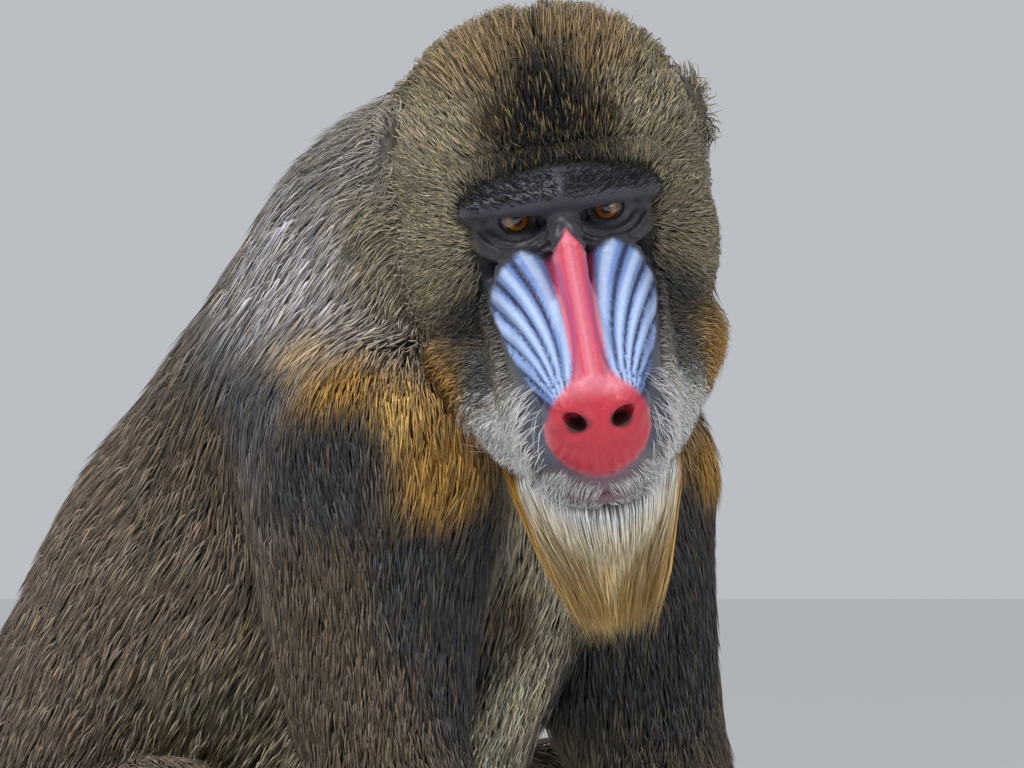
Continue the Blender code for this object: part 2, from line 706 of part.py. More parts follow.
def head_skin():
    """The whole head in one skin, cut for the eyes and nostrils, upright and facing ahead."""
    bm = bmesh.new()
    head_masses(bm)
    neck_mass(bm)
    whole = object_from(bm, "head")
    fuse(whole, voxel=0.004, rounds=5)
    point, normal = front_of(HEAD_CUT)
    keep_side(whole, point - normal * 2 * ROUGH_MARGIN, normal)
    whole.data.transform(HEAD_PLACE.inverted())
    carve(whole, at_head(0, 0.020, -0.0125), (0.060, 0.034, 0.0260))
    bm = bmesh.new()
    bm.from_mesh(whole.data)
    brow_and_orbits(bm)
    muzzle_shapes(bm)
    bm.to_mesh(whole.data)
    bm.free()
    fuse(whole, voxel=0.0020, rounds=4)
    whole.data.transform(HEAD_PLACE)
    trim(whole, [front_of(HEAD_CUT)], HEAD_TRIANGLES)
    whole.data.transform(HEAD_PLACE.inverted())
    for side in SIDES.values():
        socket = at_head(EYE_SPACING / 2 * side, EYE_AHEAD, 0)
        carve(whole, socket, (EYE_RADIUS + GAP,) * 3)
        carve(whole, socket + at_head(0, EYE_RADIUS, 0), (0.0120, 0.0070, 0.0046))
        carve(whole, at_head(0.0135 * side, 0.146, -0.0780), (0.0048, 0.0120, 0.0052), segments=10)
    largest_body(whole)
    return whole


def head():
    """Parts the skin of the head into its nodes and turns them into place."""
    whole = head_skin()
    locks = head_locks(whole)
    ears(whole)
    pieces = [whole]
    pieces.append(split_off(whole, "lower_jaw", *JAW_PLANE))
    pieces.append(split_off(whole, "crown", *CROWN_PLANE))
    muzzle = region_off(whole, "muzzle", MUZZLE_REGION)
    pieces += [muzzle, split_off(muzzle, "nose", *NOSE_PLANE)]
    for word, side in SIDES.items():
        pieces.append(split_off(whole, f"cheek_{word}", (CHEEK_ACROSS * side, 0, 0), (side, 0, 0)))
    for piece in pieces:
        largest_body(piece)
        piece.data.transform(HEAD_PLACE)
    return locks


def carve(obj, centre, radii, segments=EYE_SEGMENTS):
    bm = bmesh.new()
    add_ellipsoid(bm, centre, radii, segments=segments)
    cutter = object_from(bm, "cutter")
    boolean(obj, cutter, "DIFFERENCE")
    bpy.data.objects.remove(cutter)


def ears(whole):
    """Small cupped ears set low in the fur behind the cheeks, facing out and ahead."""
    for word, side in SIDES.items():
        turn = Matrix.Rotation(math.radians(32) * side, 4, "Z")
        centre = at_head(*EAR_AT)
        centre.x *= side
        bm = bmesh.new()
        add_ellipsoid(bm, centre, (0.0100, 0.0170, 0.0230), turn=turn, segments=14)
        ear = object_from(bm, f"ear_{word}")
        bm = bmesh.new()
        hollow = centre + turn @ Vector((0.0090 * side, -0.0030, 0.0010))
        add_ellipsoid(bm, hollow, (0.0100, 0.0130, 0.0180), turn=turn, segments=14)
        cup = object_from(bm, "cutter")
        boolean(ear, cup, "DIFFERENCE")
        bpy.data.objects.remove(cup)
        cut_clear(ear, whole)
        ear.data.transform(HEAD_PLACE)


def eyes():
    for word, side in SIDES.items():
        bm = bmesh.new()
        centre = at_head(EYE_SPACING / 2 * side, EYE_AHEAD, 0)
        add_ellipsoid(bm, centre, (EYE_RADIUS,) * 3, segments=EYE_SEGMENTS)
        bmesh.ops.transform(bm, matrix=HEAD_PLACE, verts=bm.verts)
        object_from(bm, f"eye_{word}")


# Locks of the crest, ruff, whiskers, beard and mantle


def add_lock(places, sizes):
    """A flat lock through these places, lens-shaped across, from a wide root to a point."""
    bm = bmesh.new()
    rings = []
    ways = [(after - before).normalized() for before, after in zip(places, places[1:])]
    flat = ways[-1].cross(ways[0])
    across = flat.normalized() if flat.length > 1e-3 else ways[0].orthogonal().normalized()
    for place, way, (width, thick) in zip(places, ways, sizes):
        over = across.cross(way).normalized()
        corners = (across * width, over * thick, across * -width, over * -thick)
        rings.append([bm.verts.new(place + corner / 2) for corner in corners])
    tip = bm.verts.new(places[-1])
    bm.faces.new(rings[0])
    for low, high in zip(rings, rings[1:]):
        for k in range(4):
            bm.faces.new((low[k], low[k - 1], high[k - 1], high[k]))
    for k in range(4):
        bm.faces.new((rings[-1][k], rings[-1][k - 1], tip))
    bmesh.ops.recalc_face_normals(bm, faces=bm.faces)
    bmesh.ops.triangulate(bm, faces=bm.faces)
    return object_from(bm, "lock")


def lock_path(start, bend, tip):
    """Places along a lock that leaves its root towards the bend and then turns to its tip."""
    places = []
    for stage in (0, 0.36, 0.70, 1):
        places.append(start * (1 - stage) ** 2 + bend * 2 * stage * (1 - stage) + tip * stage**2)
    return places


class Field:
    """Locks for a skin, kept by node as their places and sizes, in the frame that place leads to."""

    def __init__(self, skin, place, seed):
        corners = [vert.co for vert in skin.data.vertices]
        faces = [face.vertices for face in skin.data.polygons]
        self.tree = BVHTree.FromPolygons(corners, faces)
        self.place = place
        self.draw = random.Random(seed)
        self.locks = {}

    def over_skin(self, spot, height):
        """The place at this height over the part of the skin that is nearest to spot."""
        foot, normal = self.tree.find_nearest(spot)[:2]
        return foot + normal * height

    def plant(self, node, centre, way, lie, length, width, rise, hangs=False):
        """Sets one lock where the line from centre along way leaves the skin, with small seeded differences.

        It follows the skin with its tip standing off, or hangs free.
        """
        way = Vector(way).normalized()
        root = self.tree.ray_cast(Vector(centre) + way * REACH, -way)[0]
        if root is None:
            raise RuntimeError(f"no skin there for a lock of {node}")
        normal = self.tree.find_nearest(root)[1]
        lie = Vector(lie).normalized()
        lie = (lie - normal * min(0, lie.dot(normal))).normalized()
        side = normal.cross(lie)
        lie = (lie + side * self.draw.uniform(-LOCK_STRAY, LOCK_STRAY)).normalized()
        length *= self.draw.uniform(*LOCK_LENGTHS)
        width *= self.draw.uniform(*LOCK_WIDTHS)
        bend = root + (normal * 0.20 + lie * 0.30) * length
        tip = root + (lie + normal * rise) * length
        if not hangs:
            bend = self.over_skin(root + lie * length * 0.45, rise * length)
            tip = self.over_skin(root + lie * length, rise * length)
        places = [self.place @ spot for spot in lock_path(root - normal * LOCK_SINK, bend, tip)]
        thick = width * LOCK_FLATNESS
        sizes = [(width * share, thick) for share in LOCK_TAPER]
        self.locks.setdefault(node, []).append((places, sizes))


def polar(turn, lift):
    """A direction by degrees: turn from ahead towards the left side, lift up from level, as -Y is ahead."""
    turn, lift = math.radians(turn), math.radians(lift)
    return Vector((math.sin(turn) * math.cos(lift), -math.cos(turn) * math.cos(lift), math.sin(lift)))


def head_locks(skin):
    """Crest, ruff, whiskers and beard, on the upright head."""
    field = Field(skin, HEAD_PLACE, seed=3)
    for row, tilt in enumerate(CREST_TILTS):
        tilt = math.radians(tilt)
        back = Vector((0, math.sin(tilt), math.cos(tilt)))
        for turn in CREST_TURNS[row % 2]:
            out = Vector((math.sin(math.radians(turn)), -math.cos(tilt), math.sin(tilt)))
            lie = back + Vector((0.35 * out.x, 0, 0))
            field.plant("crown", at_head(*DOME_AT), out, lie, *CREST_LOCK)
    for word, side in SIDES.items():
        cheek = at_head(0.030 * side, -0.056, -0.034)
        for turn, lifts in RUFF:
            for lift in lifts:
                lie = Vector((0.20 * side, 0.55, -0.80 - lift * 0.004))
                field.plant(f"cheek_{word}", cheek, polar(turn * side, lift), lie, *RUFF_LOCK)
        for step in range(WHISKERS):
            share = step / (WHISKERS - 1)
            root = at_head(0, 0.088 - 0.074 * share, -0.116 + 0.012 * share)
            lie = Vector((0.60 * side, 0.45 + 0.2 * share, -0.65 + 0.30 * share))
            field.plant("muzzle", root, (side, 0, -0.15), lie, *WHISKER_LOCK, hangs=True)
        for ahead in (0.056, 0.030, 0.004):
            lie = Vector((0.10 * side, 0.35, -0.90))
            root = at_head(0, ahead, -0.128)
            field.plant("lower_jaw", root, (side, 0, -0.35), lie, *JAW_LOCK, hangs=True)
    beard = at_head(*BEARD_AT)
    for lift, turns, length in BEARD:
        for turn in turns:
            way = polar(turn, lift)
            root = beard + way * BEARD_THICKNESS
            lie = at_head(root.x * BEARD_SPREAD, *BEARD_TIP[1:]) - root
            field.plant("lower_jaw", beard, way, lie, length, *BEARD_LOCK, hangs=True)
    return field.locks


def mantle_locks(skin):
    """Long hair of the nape, shoulders and chest."""
    field = Field(skin, Matrix.Identity(4), seed=5)
    nape = NECK_BASE.lerp(NECK_END, 0.30)
    for turn in (118, 139, 160, 181, 202, 223):
        field.plant("neck", nape, polar(turn, 42), (0, 0.6, -0.9), *MANTLE_LOCK)
    for turn in (-132, -111, -90, -69, 69, 90, 111, 132):
        field.plant("neck", NECK_BASE, polar(turn, 4), (0, 0.5, -1), *MANTLE_LOCK)
    withers = Vector((0, 0.058, 0.462))
    for row, lift in enumerate((22, -6)):
        for step in range(-3, 4 - row):
            way = polar(180 + (step + row / 2) * WITHERS_STEP, lift)
            field.plant("chest", withers, way, (0, 0.45, -1), *MANTLE_LOCK)
    for turn in (-36, -12, 12, 36):
        field.plant("chest", (0, -0.022, 0.400), polar(turn, 12), (0, -0.05, -1), *MANTLE_LOCK)
    for word, side in SIDES.items():
        shoulder = on_side(SHOULDER, side)
        for turn, lift in SHOULDER_ROOTS:
            way = polar(turn * side, lift)
            field.plant(f"upper_arm_{word}", shoulder, way, (0, 0.2, -1), *SHOULDER_LOCK)
    return field.locks


def grow(node, locks):
    """Fuses a node's locks to it, each first cut clear of the nodes that it would cross."""
    host = bpy.data.objects[node]
    tuft = bpy.data.collections.new("locks")
    bpy.context.scene.collection.children.link(tuft)
    others = [obj for obj in bpy.context.scene.collection.objects if obj != host]
    swollen = {}
    for places, sizes in locks:
        lock = add_lock(places, sizes)
        for other in others:
            if boxes_meet(lock, other):
                if other.name not in swollen:
                    swollen[other.name] = inflated(other, CLEAR)
                boolean(lock, swollen[other.name], "DIFFERENCE", solver="MANIFOLD")
        if not lock.data.vertices:
            bpy.data.objects.remove(lock)
            continue
        root_body(lock, places[0])
        tuft.objects.link(lock)
        bpy.context.scene.collection.objects.unlink(lock)
    boolean(host, tuft, "UNION", solver="MANIFOLD")
    largest_body(host)
    for obj in list(tuft.objects) + list(swollen.values()):
        bpy.data.objects.remove(obj)
    bpy.data.collections.remove(tuft)


def root_body(lock, root):
    """Of a lock that a neighbour cut in two, keeps the piece with the root."""
    bodies = loose_bodies(lock)
    points = lock.data.vertices
    keep = min(bodies, key=lambda body: min((points[i].co - root).length for i in body))
    keep_vertices(lock, keep)


def boxes_meet(first, second):
    """Whether the bounding boxes of two objects overlap, when neither is empty."""
    spans = []
    for obj in (first, second):
        points = [v.co for v in obj.data.vertices]
        if not points:
            return False
        lows = [min(p[k] for p in points) - CLEAR for k in range(3)]
        highs = [max(p[k] for p in points) + CLEAR for k in range(3)]
        spans.append(list(zip(lows, highs)))
    return all(a[0] < b[1] and b[0] < a[1] for a, b in zip(*spans))


# Finish


def finish(name, colour, roughness):
    material = bpy.data.materials.new(name)
    material.use_nodes = True
    shader = material.node_tree.nodes["Principled BSDF"]
    shader.inputs["Base Color"].default_value = (*colour, 1.0)
    shader.inputs["Roughness"].default_value = roughness
    shader.inputs["Metallic"].default_value = 0.0
    return material


def dress():
    """Gives every node its own finish, smooth shading and its place on the floor."""
    for obj in bpy.data.objects:
        part = obj.name.replace("_left", "").replace("_right", "")
        obj.data.materials.clear()
        obj.data.materials.append(finish(obj.name, *FINISHES[part]))
        obj.data.shade_smooth()
        obj.data.set_sharp_from_angle(angle=SHARP_ANGLE)
        obj.data.transform(Matrix.Translation(STAND_AT))


def main():
    clear_scene()
    locks = body()
    for word, side in SIDES.items():
        hand(word, side)
        foot(word, side)
    locks.update(head())
    for obj in bpy.data.objects:
        lighten(obj)
    eyes()
    for node in LOCK_NODES:
        grow(node, locks[node])
    dress()


main()
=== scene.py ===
"""Dresses the life-size mandrill: its skin with the ridged face, its eyes, nails and coat, and a plain stage.

Metres, +Z up, in the frame of the solids. The body faces -Y and the head is turned to its right shoulder.
On the head, places are given as across (to its left), ahead and up from the middle of the eye line.
"""

import json
import math

import bmesh
import bpy
import numpy as np
from bpy.props import FloatProperty, FloatVectorProperty, IntProperty, PointerProperty
from bpy.types import Operator, Panel, PropertyGroup
from mathutils import Matrix, Vector
from mathutils.bvhtree import BVHTree
from mathutils.kdtree import KDTree

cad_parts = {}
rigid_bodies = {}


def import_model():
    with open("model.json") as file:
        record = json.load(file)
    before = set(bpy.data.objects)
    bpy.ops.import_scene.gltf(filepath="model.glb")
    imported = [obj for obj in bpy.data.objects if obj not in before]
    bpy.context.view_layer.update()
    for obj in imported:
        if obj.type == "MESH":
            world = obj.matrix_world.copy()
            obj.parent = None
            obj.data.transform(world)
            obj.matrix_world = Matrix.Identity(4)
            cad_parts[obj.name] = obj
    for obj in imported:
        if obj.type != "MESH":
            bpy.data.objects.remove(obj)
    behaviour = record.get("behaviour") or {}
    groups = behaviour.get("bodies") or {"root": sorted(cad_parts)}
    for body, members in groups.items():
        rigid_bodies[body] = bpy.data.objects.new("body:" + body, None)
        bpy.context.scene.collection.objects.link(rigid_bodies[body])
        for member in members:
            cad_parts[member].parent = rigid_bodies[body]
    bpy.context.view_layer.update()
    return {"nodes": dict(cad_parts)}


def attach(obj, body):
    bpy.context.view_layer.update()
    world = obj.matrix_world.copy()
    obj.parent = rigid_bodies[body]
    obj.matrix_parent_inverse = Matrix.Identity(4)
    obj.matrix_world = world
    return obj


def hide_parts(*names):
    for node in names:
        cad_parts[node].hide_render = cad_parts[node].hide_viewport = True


for startup in list(bpy.data.objects):
    bpy.data.objects.remove(startup, do_unlink=True)
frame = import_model()

bl_info = {
    "name": "Mandrill",
    "version": (1, 0, 0),
    "blender": (4, 5, 0),
    "location": "3D View > Sidebar > Mandrill",
    "description": "Skin, eyes, nails, coat and stage of a life-size sitting mandrill",
    "category": "Object",
}

BODY = "root"
SIDES = {"left": 1, "right": -1}

# Places that the solids share
STAND_AT = Vector((0, -0.073, 0))
HEAD_TURN = math.radians(-46)
HEAD_TILT = math.radians(-8)
HEAD_PITCH = math.radians(18)
EYES_AT = Vector((-0.102, -0.190, 0.591))
EYE_SPACING = 0.054
EYE_RADIUS = 0.0118
EYE_AHEAD = -0.0125
SHOULDER = Vector((0.099, -0.045, 0.435))
ELBOW = Vector((0.121, -0.070, 0.250))
WRIST = Vector((0.076, -0.180, 0.062))
HIP = Vector((0.075, 0.260, 0.120))
KNEE = Vector((0.186, 0.060, 0.214))
ANKLE = Vector((0.168, -0.062, 0.054))
PALM_STEP = Vector((0, -0.026, -0.036))
HEEL_STEP = Vector((-0.002, 0.020, -0.030))
SEAT_PAD = Vector((0.042, 0.338, 0.036))
TAIL_ROOT = Vector((0, 0.392, 0.190))
TAIL_TIP = Vector((0, 0.442, 0.240))
NECK_BASE = Vector((0, -0.004, 0.548))
DOME_AT = (0, -0.088, 0.002)
EAR_AT = (0.088, -0.110, 0.022)
SWELLING_TOP = (0.0270, 0.014, -0.0300)
SWELLING_LOW = (0.0190, 0.106, -0.0690)
FINGERS = ((-0.0215, 0.046), (-0.0075, 0.055), (0.0070, 0.053), (0.0205, 0.042))
TOES = ((-0.0120, 0.046), (0.0010, 0.052), (0.0135, 0.048), (0.0250, 0.038))
MOUTH_FRONT_AHEAD = 0.120
MOUTH_FRONT_UP = -0.1340
MOUTH_RISE = 0.12

HEAD_PLACE = (
    Matrix.Translation(EYES_AT)
    @ Matrix.Rotation(HEAD_TURN, 4, "Z")
    @ Matrix.Rotation(HEAD_TILT, 4, "Y")
    @ Matrix.Rotation(HEAD_PITCH, 4, "X")
)
NECK_END = HEAD_PLACE @ Vector((0, 0.120, -0.010))
ON_FLOOR = Matrix.Translation(STAND_AT)
HEAD_STANDS = ON_FLOOR @ HEAD_PLACE
TO_HEAD = HEAD_STANDS.inverted()

BODY_TRIANGLES = 42000
FACE_TRIANGLES = 92000
PAW_TRIANGLES = 10000

# How far the skin lies under the outside of the coat
DEPTH = {"trunk": 0.013, "neck": 0.011, "head": 0.009, "upper_arm": 0.010, "forearm": 0.008,
         "thigh": 0.011, "shank": 0.008, "tail": 0.008, "paw": 0.001}


def on_side(point, side):
    """The point for the left side, or its mirror image for the right."""
    return Vector((point[0] * side, point[1], point[2]))


def at_head(across, ahead, up):
    """A place on the upright head, as it faces -Y."""
    return Vector((across, -ahead, up))


# Bones of the body: name of the region, start, end, radius at each end of the coat's outside


def body_bones():
    """Every capsule of the trunk, neck, tail and limbs, each from the head's side to its far end."""
    bones = []
    spine = (
        ((0, 0.002, 0.552), 0.120),
        ((0, 0.058, 0.462), 0.133),
        ((0, 0.142, 0.352), 0.150),
        ((0, 0.252, 0.228), 0.132),
        ((0, 0.312, 0.118), 0.112),
    )
    for (start, first), (end, second) in zip(spine, spine[1:]):
        bones.append(("trunk", Vector(start), Vector(end), first, second))
    bones.append(("trunk", Vector((0, -0.022, 0.400)), Vector((0, 0.040, 0.290)), 0.096, 0.094))
    bones.append(("trunk", Vector((0, 0.068, 0.240)), Vector((0, 0.175, 0.125)), 0.104, 0.108))
    bones.append(("neck", NECK_END, NECK_BASE, 0.094, 0.112))
    bones.append(("tail", TAIL_ROOT, TAIL_TIP, 0.028, 0.017))
    for word, side in SIDES.items():
        bones += arm_bones(word, side) + leg_bones(word, side)
    return bones


def arm_bones(word, side):
    shoulder, elbow, wrist = (on_side(p, side) for p in (SHOULDER, ELBOW, WRIST))
    triceps = Vector((0, 0.026, 0))
    bulk = elbow.lerp(wrist, 0.28)
    upper, lower = f"upper_arm_{word}", f"forearm_{word}"
    return [
        (upper, Vector((0.035 * side, 0.035, 0.470)), shoulder, 0.100, 0.076),
        (upper, shoulder, elbow, 0.070, 0.047),
        (upper, shoulder.lerp(elbow, 0.10) + triceps, shoulder.lerp(elbow, 0.80) + triceps / 2, 0.068, 0.055),
        (lower, elbow, bulk, 0.050, 0.048),
        (lower, bulk, wrist, 0.047, 0.031),
        (f"hand_{word}", wrist, wrist + PALM_STEP, 0.028, 0.024),
    ]


def leg_bones(word, side):
    hip, knee, ankle = (on_side(p, side) for p in (HIP, KNEE, ANKLE))
    calf = knee.lerp(ankle, 0.35) + Vector((0, 0.012, 0))
    pad = on_side(SEAT_PAD, side)
    upper, lower = f"thigh_{word}", f"shank_{word}"
    return [
        (upper, hip, knee, 0.098, 0.056),
        (upper, hip.lerp(knee, 0.4), hip.lerp(knee, 0.6), 0.084, 0.076),
        (lower, knee, calf, 0.054, 0.050),
        (lower, calf, ankle, 0.047, 0.031),
        (f"foot_{word}", ankle, ankle + HEEL_STEP, 0.028, 0.025),
        (f"seat_{word}", pad, pad + Vector((0, -0.034, 0)), 0.043, 0.043),
    ]


def depth_of(region):
    for name, depth in DEPTH.items():
        if region.startswith(name):
            return depth
    return DEPTH["paw"]


# Shapes


def add_capsule(bm, start, end, start_radius, end_radius, segments=24):
    """A sphere pulled apart between two points, each half with its own radius."""
    made = bmesh.ops.create_uvsphere(bm, u_segments=segments, v_segments=14, radius=1.0)
    start, end = Vector(start), Vector(end)
    along = (end - start).normalized() if (end - start).length > 1e-6 else Vector((0, 0, 1))
    wide = along.orthogonal().normalized()
    thin = along.cross(wide)
    for vert in made["verts"]:
        x, y, z = vert.co
        centre, radius = (end, end_radius) if z > 0 else (start, start_radius)
        vert.co = centre + (wide * x + thin * y + along * z) * radius


def add_chain(bm, points, radii, segments=12):
    """Capsules through the points, one after another."""
    for start, end, first, second in zip(points, points[1:], radii, radii[1:]):
        add_capsule(bm, start, end, first, second, segments=segments)


def add_ellipsoid(bm, centre, radii, turn=None, segments=28, place=None):
    """An ellipsoid with radii along its own axes, which turn may rotate."""
    still = Matrix.Identity(4)
    matrix = Matrix.Translation(Vector(centre)) @ (turn or still) @ Matrix.Diagonal((*radii, 1.0))
    matrix = (place or still) @ matrix
    rows = segments * 2 // 3
    bmesh.ops.create_uvsphere(bm, u_segments=segments, v_segments=rows, radius=1.0, matrix=matrix)


def object_from(bm, name):
    mesh = bpy.data.meshes.new(name)
    bm.to_mesh(mesh)
    bm.free()
    obj = bpy.data.objects.new(name, mesh)
    bpy.context.scene.collection.objects.link(obj)
    return obj


def apply_modifiers(obj):
    """Turns the object's evaluated shape into its mesh."""
    bpy.context.view_layer.update()
    graph = bpy.context.evaluated_depsgraph_get()
    mesh = bpy.data.meshes.new_from_object(obj.evaluated_get(graph))
    old = obj.data
    obj.modifiers.clear()
    obj.data = mesh
    bpy.data.meshes.remove(old)


def fuse(obj, voxel, rounds):
    """Makes one even skin of the overlapping shapes and rounds off their creases."""
    remesh = obj.modifiers.new("skin", "REMESH")
    remesh.mode = "VOXEL"
    remesh.voxel_size = voxel
    smooth = obj.modifiers.new("round", "SMOOTH")
    smooth.factor = 0.5
    smooth.iterations = rounds
    apply_modifiers(obj)


def thin_out(obj, triangles):
    """Keeps about this many triangles, most of them where the surface bends."""
    count = sum(len(face.vertices) - 2 for face in obj.data.polygons)
    decimate = obj.modifiers.new("thin_out", "DECIMATE")
    decimate.ratio = min(1.0, triangles / count)
    decimate.use_collapse_triangulate = True
    apply_modifiers(obj)


def keep_side(obj, point, normal):
    """Cuts the object by a plane, keeps what lies on the side that normal points to, and closes the cut."""
    bm = bmesh.new()
    bm.from_mesh(obj.data)
    geom = bm.verts[:] + bm.edges[:] + bm.faces[:]
    bmesh.ops.bisect_plane(bm, geom=geom, plane_co=point, plane_no=normal, clear_inner=True, dist=1e-6)
    rim = [edge for edge in bm.edges if edge.is_boundary]
    bmesh.ops.holes_fill(bm, edges=rim, sides=0)
    bmesh.ops.triangulate(bm, faces=bm.faces)
    bmesh.ops.recalc_face_normals(bm, faces=bm.faces)
    bm.to_mesh(obj.data)
    bm.free()


def boolean(obj, other, operation, solver="MANIFOLD"):
    modifier = obj.modifiers.new(operation.lower(), "BOOLEAN")
    modifier.operation = operation
    modifier.solver = solver
    modifier.object = other
    apply_modifiers(obj)
    bpy.data.objects.remove(other)


def carve(obj, centre, radii, segments=32, turn=None):
    bm = bmesh.new()
    add_ellipsoid(bm, centre, radii, segments=segments, turn=turn)
    boolean(obj, object_from(bm, "cutter"), "DIFFERENCE")


def points_of(mesh):
    """Vertices of a mesh as rows of an array."""
    flat = np.empty(len(mesh.vertices) * 3)
    mesh.vertices.foreach_get("co", flat)
    return flat.reshape(-1, 3)


def carried(points, matrix):
    """Rows of points moved by a matrix."""
    turn = np.array(matrix.to_3x3())
    return points @ turn.T + np.array(matrix.translation)


# Face: a place on its plane is given by how far it is from the middle and by its drop from the eye line


def ease(low, high, value):
    """0 below low, 1 above high, and a smooth rise between them."""
    share = np.clip((value - low) / (high - low), 0, 1)
    return share * share * (3 - 2 * share)


RIDGE_CENTRE = (0.0205, -0.118)
RIDGE_SWING = 250
GROOVES = (-28, -15.6, -6, 2.6, 12, 22, 32)
PANEL_LIMITS = (
    (-60, 0.094), (-6, 0.094), (4, 0.102), (12.3, 0.0953), (18.7, 0.0853), (22, 0.078),
    (27, 0.055), (34, 0.030), (45, 0.018), (60, 0.004), (180, 0.0),
)
RED_WIDTHS = (
    (-0.200, 0.0), (-0.158, 0.0), (-0.154, 0.010), (-0.148, 0.019), (-0.140, 0.026), (-0.130, 0.031),
    (-0.120, 0.031), (-0.105, 0.018), (-0.090, 0.010), (-0.060, 0.0110), (-0.030, 0.0125),
    (-0.020, 0.0085), (-0.011, 0.0022), (-0.007, 0.0),
)
BARE_WIDTHS = (
    (-0.200, 0.0), (-0.178, 0.020), (-0.160, 0.040), (-0.140, 0.047), (-0.120, 0.046), (-0.100, 0.042),
    (-0.080, 0.045), (-0.050, 0.050), (-0.020, 0.051), (0.000, 0.053), (0.008, 0.061), (0.014, 0.060),
    (0.019, 0.053), (0.024, 0.038), (0.0275, 0.018), (0.0290, 0.0),
)
PAD_AT = -0.125
PAD_SIZE = (0.0317, 0.031)
NOSTRIL_AT = (0.0128, -0.1225)


def curve(table, value):
    """The value read from a table of pairs, with straight lines between them."""
    return np.interp(value, [pair[0] for pair in table], [pair[1] for pair in table])


class Face:
    """Masks of the face, each 0 to 1, for rows of places on the upright head."""

    def __init__(self, places):
        self.across = np.abs(places[:, 0])
        self.ahead = -places[:, 1]
        self.up = places[:, 2]
        self.drop = 0.951 * self.up - 0.309 * self.ahead
        self.front = ease(-0.040, -0.022, self.ahead)
        out = self.across - RIDGE_CENTRE[0]
        over = self.drop - RIDGE_CENTRE[1]
        self.reach = np.hypot(out, over)
        turn = np.degrees(np.arctan2(out, over))
        self.swing = turn - RIDGE_SWING * self.reach
        limit = curve(PANEL_LIMITS, turn)
        inner = ease(-29.0, -26.5, self.swing)
        outer = 1 - ease(-0.0035, 0.0010, self.reach - limit)
        self.panel = inner * outer * self.front
        self.fold = np.interp(self.swing, GROOVES, np.arange(len(GROOVES)))
        self.ridge = np.abs(np.sin(np.pi * self.fold)) ** 0.7
        red = curve(RED_WIDTHS, self.drop)
        over_jaw = ease(0.0, 0.012, self.ahead + 0.7 * self.drop + 0.010)
        self.red = (1 - ease(-0.0012, 0.0012, self.across - red)) * (red > 0.0005) * over_jaw
        pad = np.hypot(self.across / PAD_SIZE[0], (self.drop - PAD_AT) / PAD_SIZE[1])
        self.pad = (1 - ease(0.88, 1.02, pad)) * ease(0.10, 0.112, self.ahead)
        self.rim = ease(-33, -29, self.swing) * (1 - ease(-27.5, -25.5, self.swing)) * outer * self.front
        bare = curve(BARE_WIDTHS, self.drop)
        above_throat = ease(0.0, 0.012, self.ahead + 0.4 * self.drop + 0.040)
        above_throat = ease(-0.036, -0.024, self.ahead) * above_throat
        self.bare = (1 - ease(-0.003, 0.003, self.across - bare)) * (bare > 0.001) * above_throat
        eye = np.hypot((self.across - EYE_SPACING / 2) / 0.0190, (self.drop - 0.0010) / 0.0125)
        self.lid = (1 - ease(0.80, 1.15, eye)) * self.front
        self.brow = self.front * ease(0.008, 0.012, self.drop) * (1 - ease(0.024, 0.028, self.drop))
        # Mask of the painted shade in and round the nostrils
        nostril = np.hypot((self.across - NOSTRIL_AT[0]) / 0.0066, (self.drop - NOSTRIL_AT[1]) / 0.0052)
        self.nostril = (1 - ease(0.75, 1.25, nostril)) * ease(0.10, 0.112, self.ahead)


def relief(places):
    """How far the skin of the face stands out: ridges, folds of the stripe, the nose and fine wrinkles."""
    face = Face(places)
    ends = ease(0.010, 0.028, face.reach) * (1 - ease(-0.020, -0.002, face.reach - curve(PANEL_LIMITS, 0)))
    height = face.panel * (0.0040 * face.ridge - 0.0019) * (0.35 + 0.65 * ends)
    stripe = face.red * (1 - face.pad)
    height += stripe * 0.0007 * np.cos(face.across / 0.0062 * 2 * np.pi)
    rays = np.degrees(np.arctan2(face.across, PAD_AT + 0.02 - face.drop))
    low = face.pad * ease(0.0, 0.010, PAD_AT - 0.004 - face.drop)
    height += low * 0.0007 * np.cos(rays * 0.75)
    septum = np.exp(-((face.across / 0.0022) ** 2)) * (1 - ease(-0.118, -0.108, face.drop))
    height -= face.pad * septum * 0.0011
    wing = np.hypot((face.across - 0.0150) / 0.0080, (face.drop - NOSTRIL_AT[1]) / 0.0085)
    height += face.pad * 0.0013 * np.exp(-(((wing - 1.15) / 0.32) ** 2))
    eye = np.hypot((face.across - EYE_SPACING / 2) / 1.35, face.drop - 0.0010)
    under = face.front * (1 - ease(-0.006, -0.002, face.drop)) * (1 - ease(0.024, 0.030, eye))
    height += under * 0.0009 * np.cos((eye - 0.0132) / 0.0050 * 2 * np.pi) * ease(0.0095, 0.012, eye)
    return height


# Head


def head_masses(bm, place, inset):
    """Crown, cheeks and throat, inset from the outside of the coat."""
    def mass(centre, radii):
        radii = [radius - inset for radius in radii]
        add_ellipsoid(bm, at_head(*centre), radii, place=place)

    mass(DOME_AT, (0.098, 0.095, 0.094))
    mass((0, -0.062, -0.072), (0.080, 0.072, 0.066))
    for side in SIDES.values():
        mass((0.056 * side, -0.056, -0.034), (0.042, 0.056, 0.064))


def head_chain(bm, points, radii, segments=12):
    add_chain(bm, [at_head(*point) for point in points], radii, segments=segments)


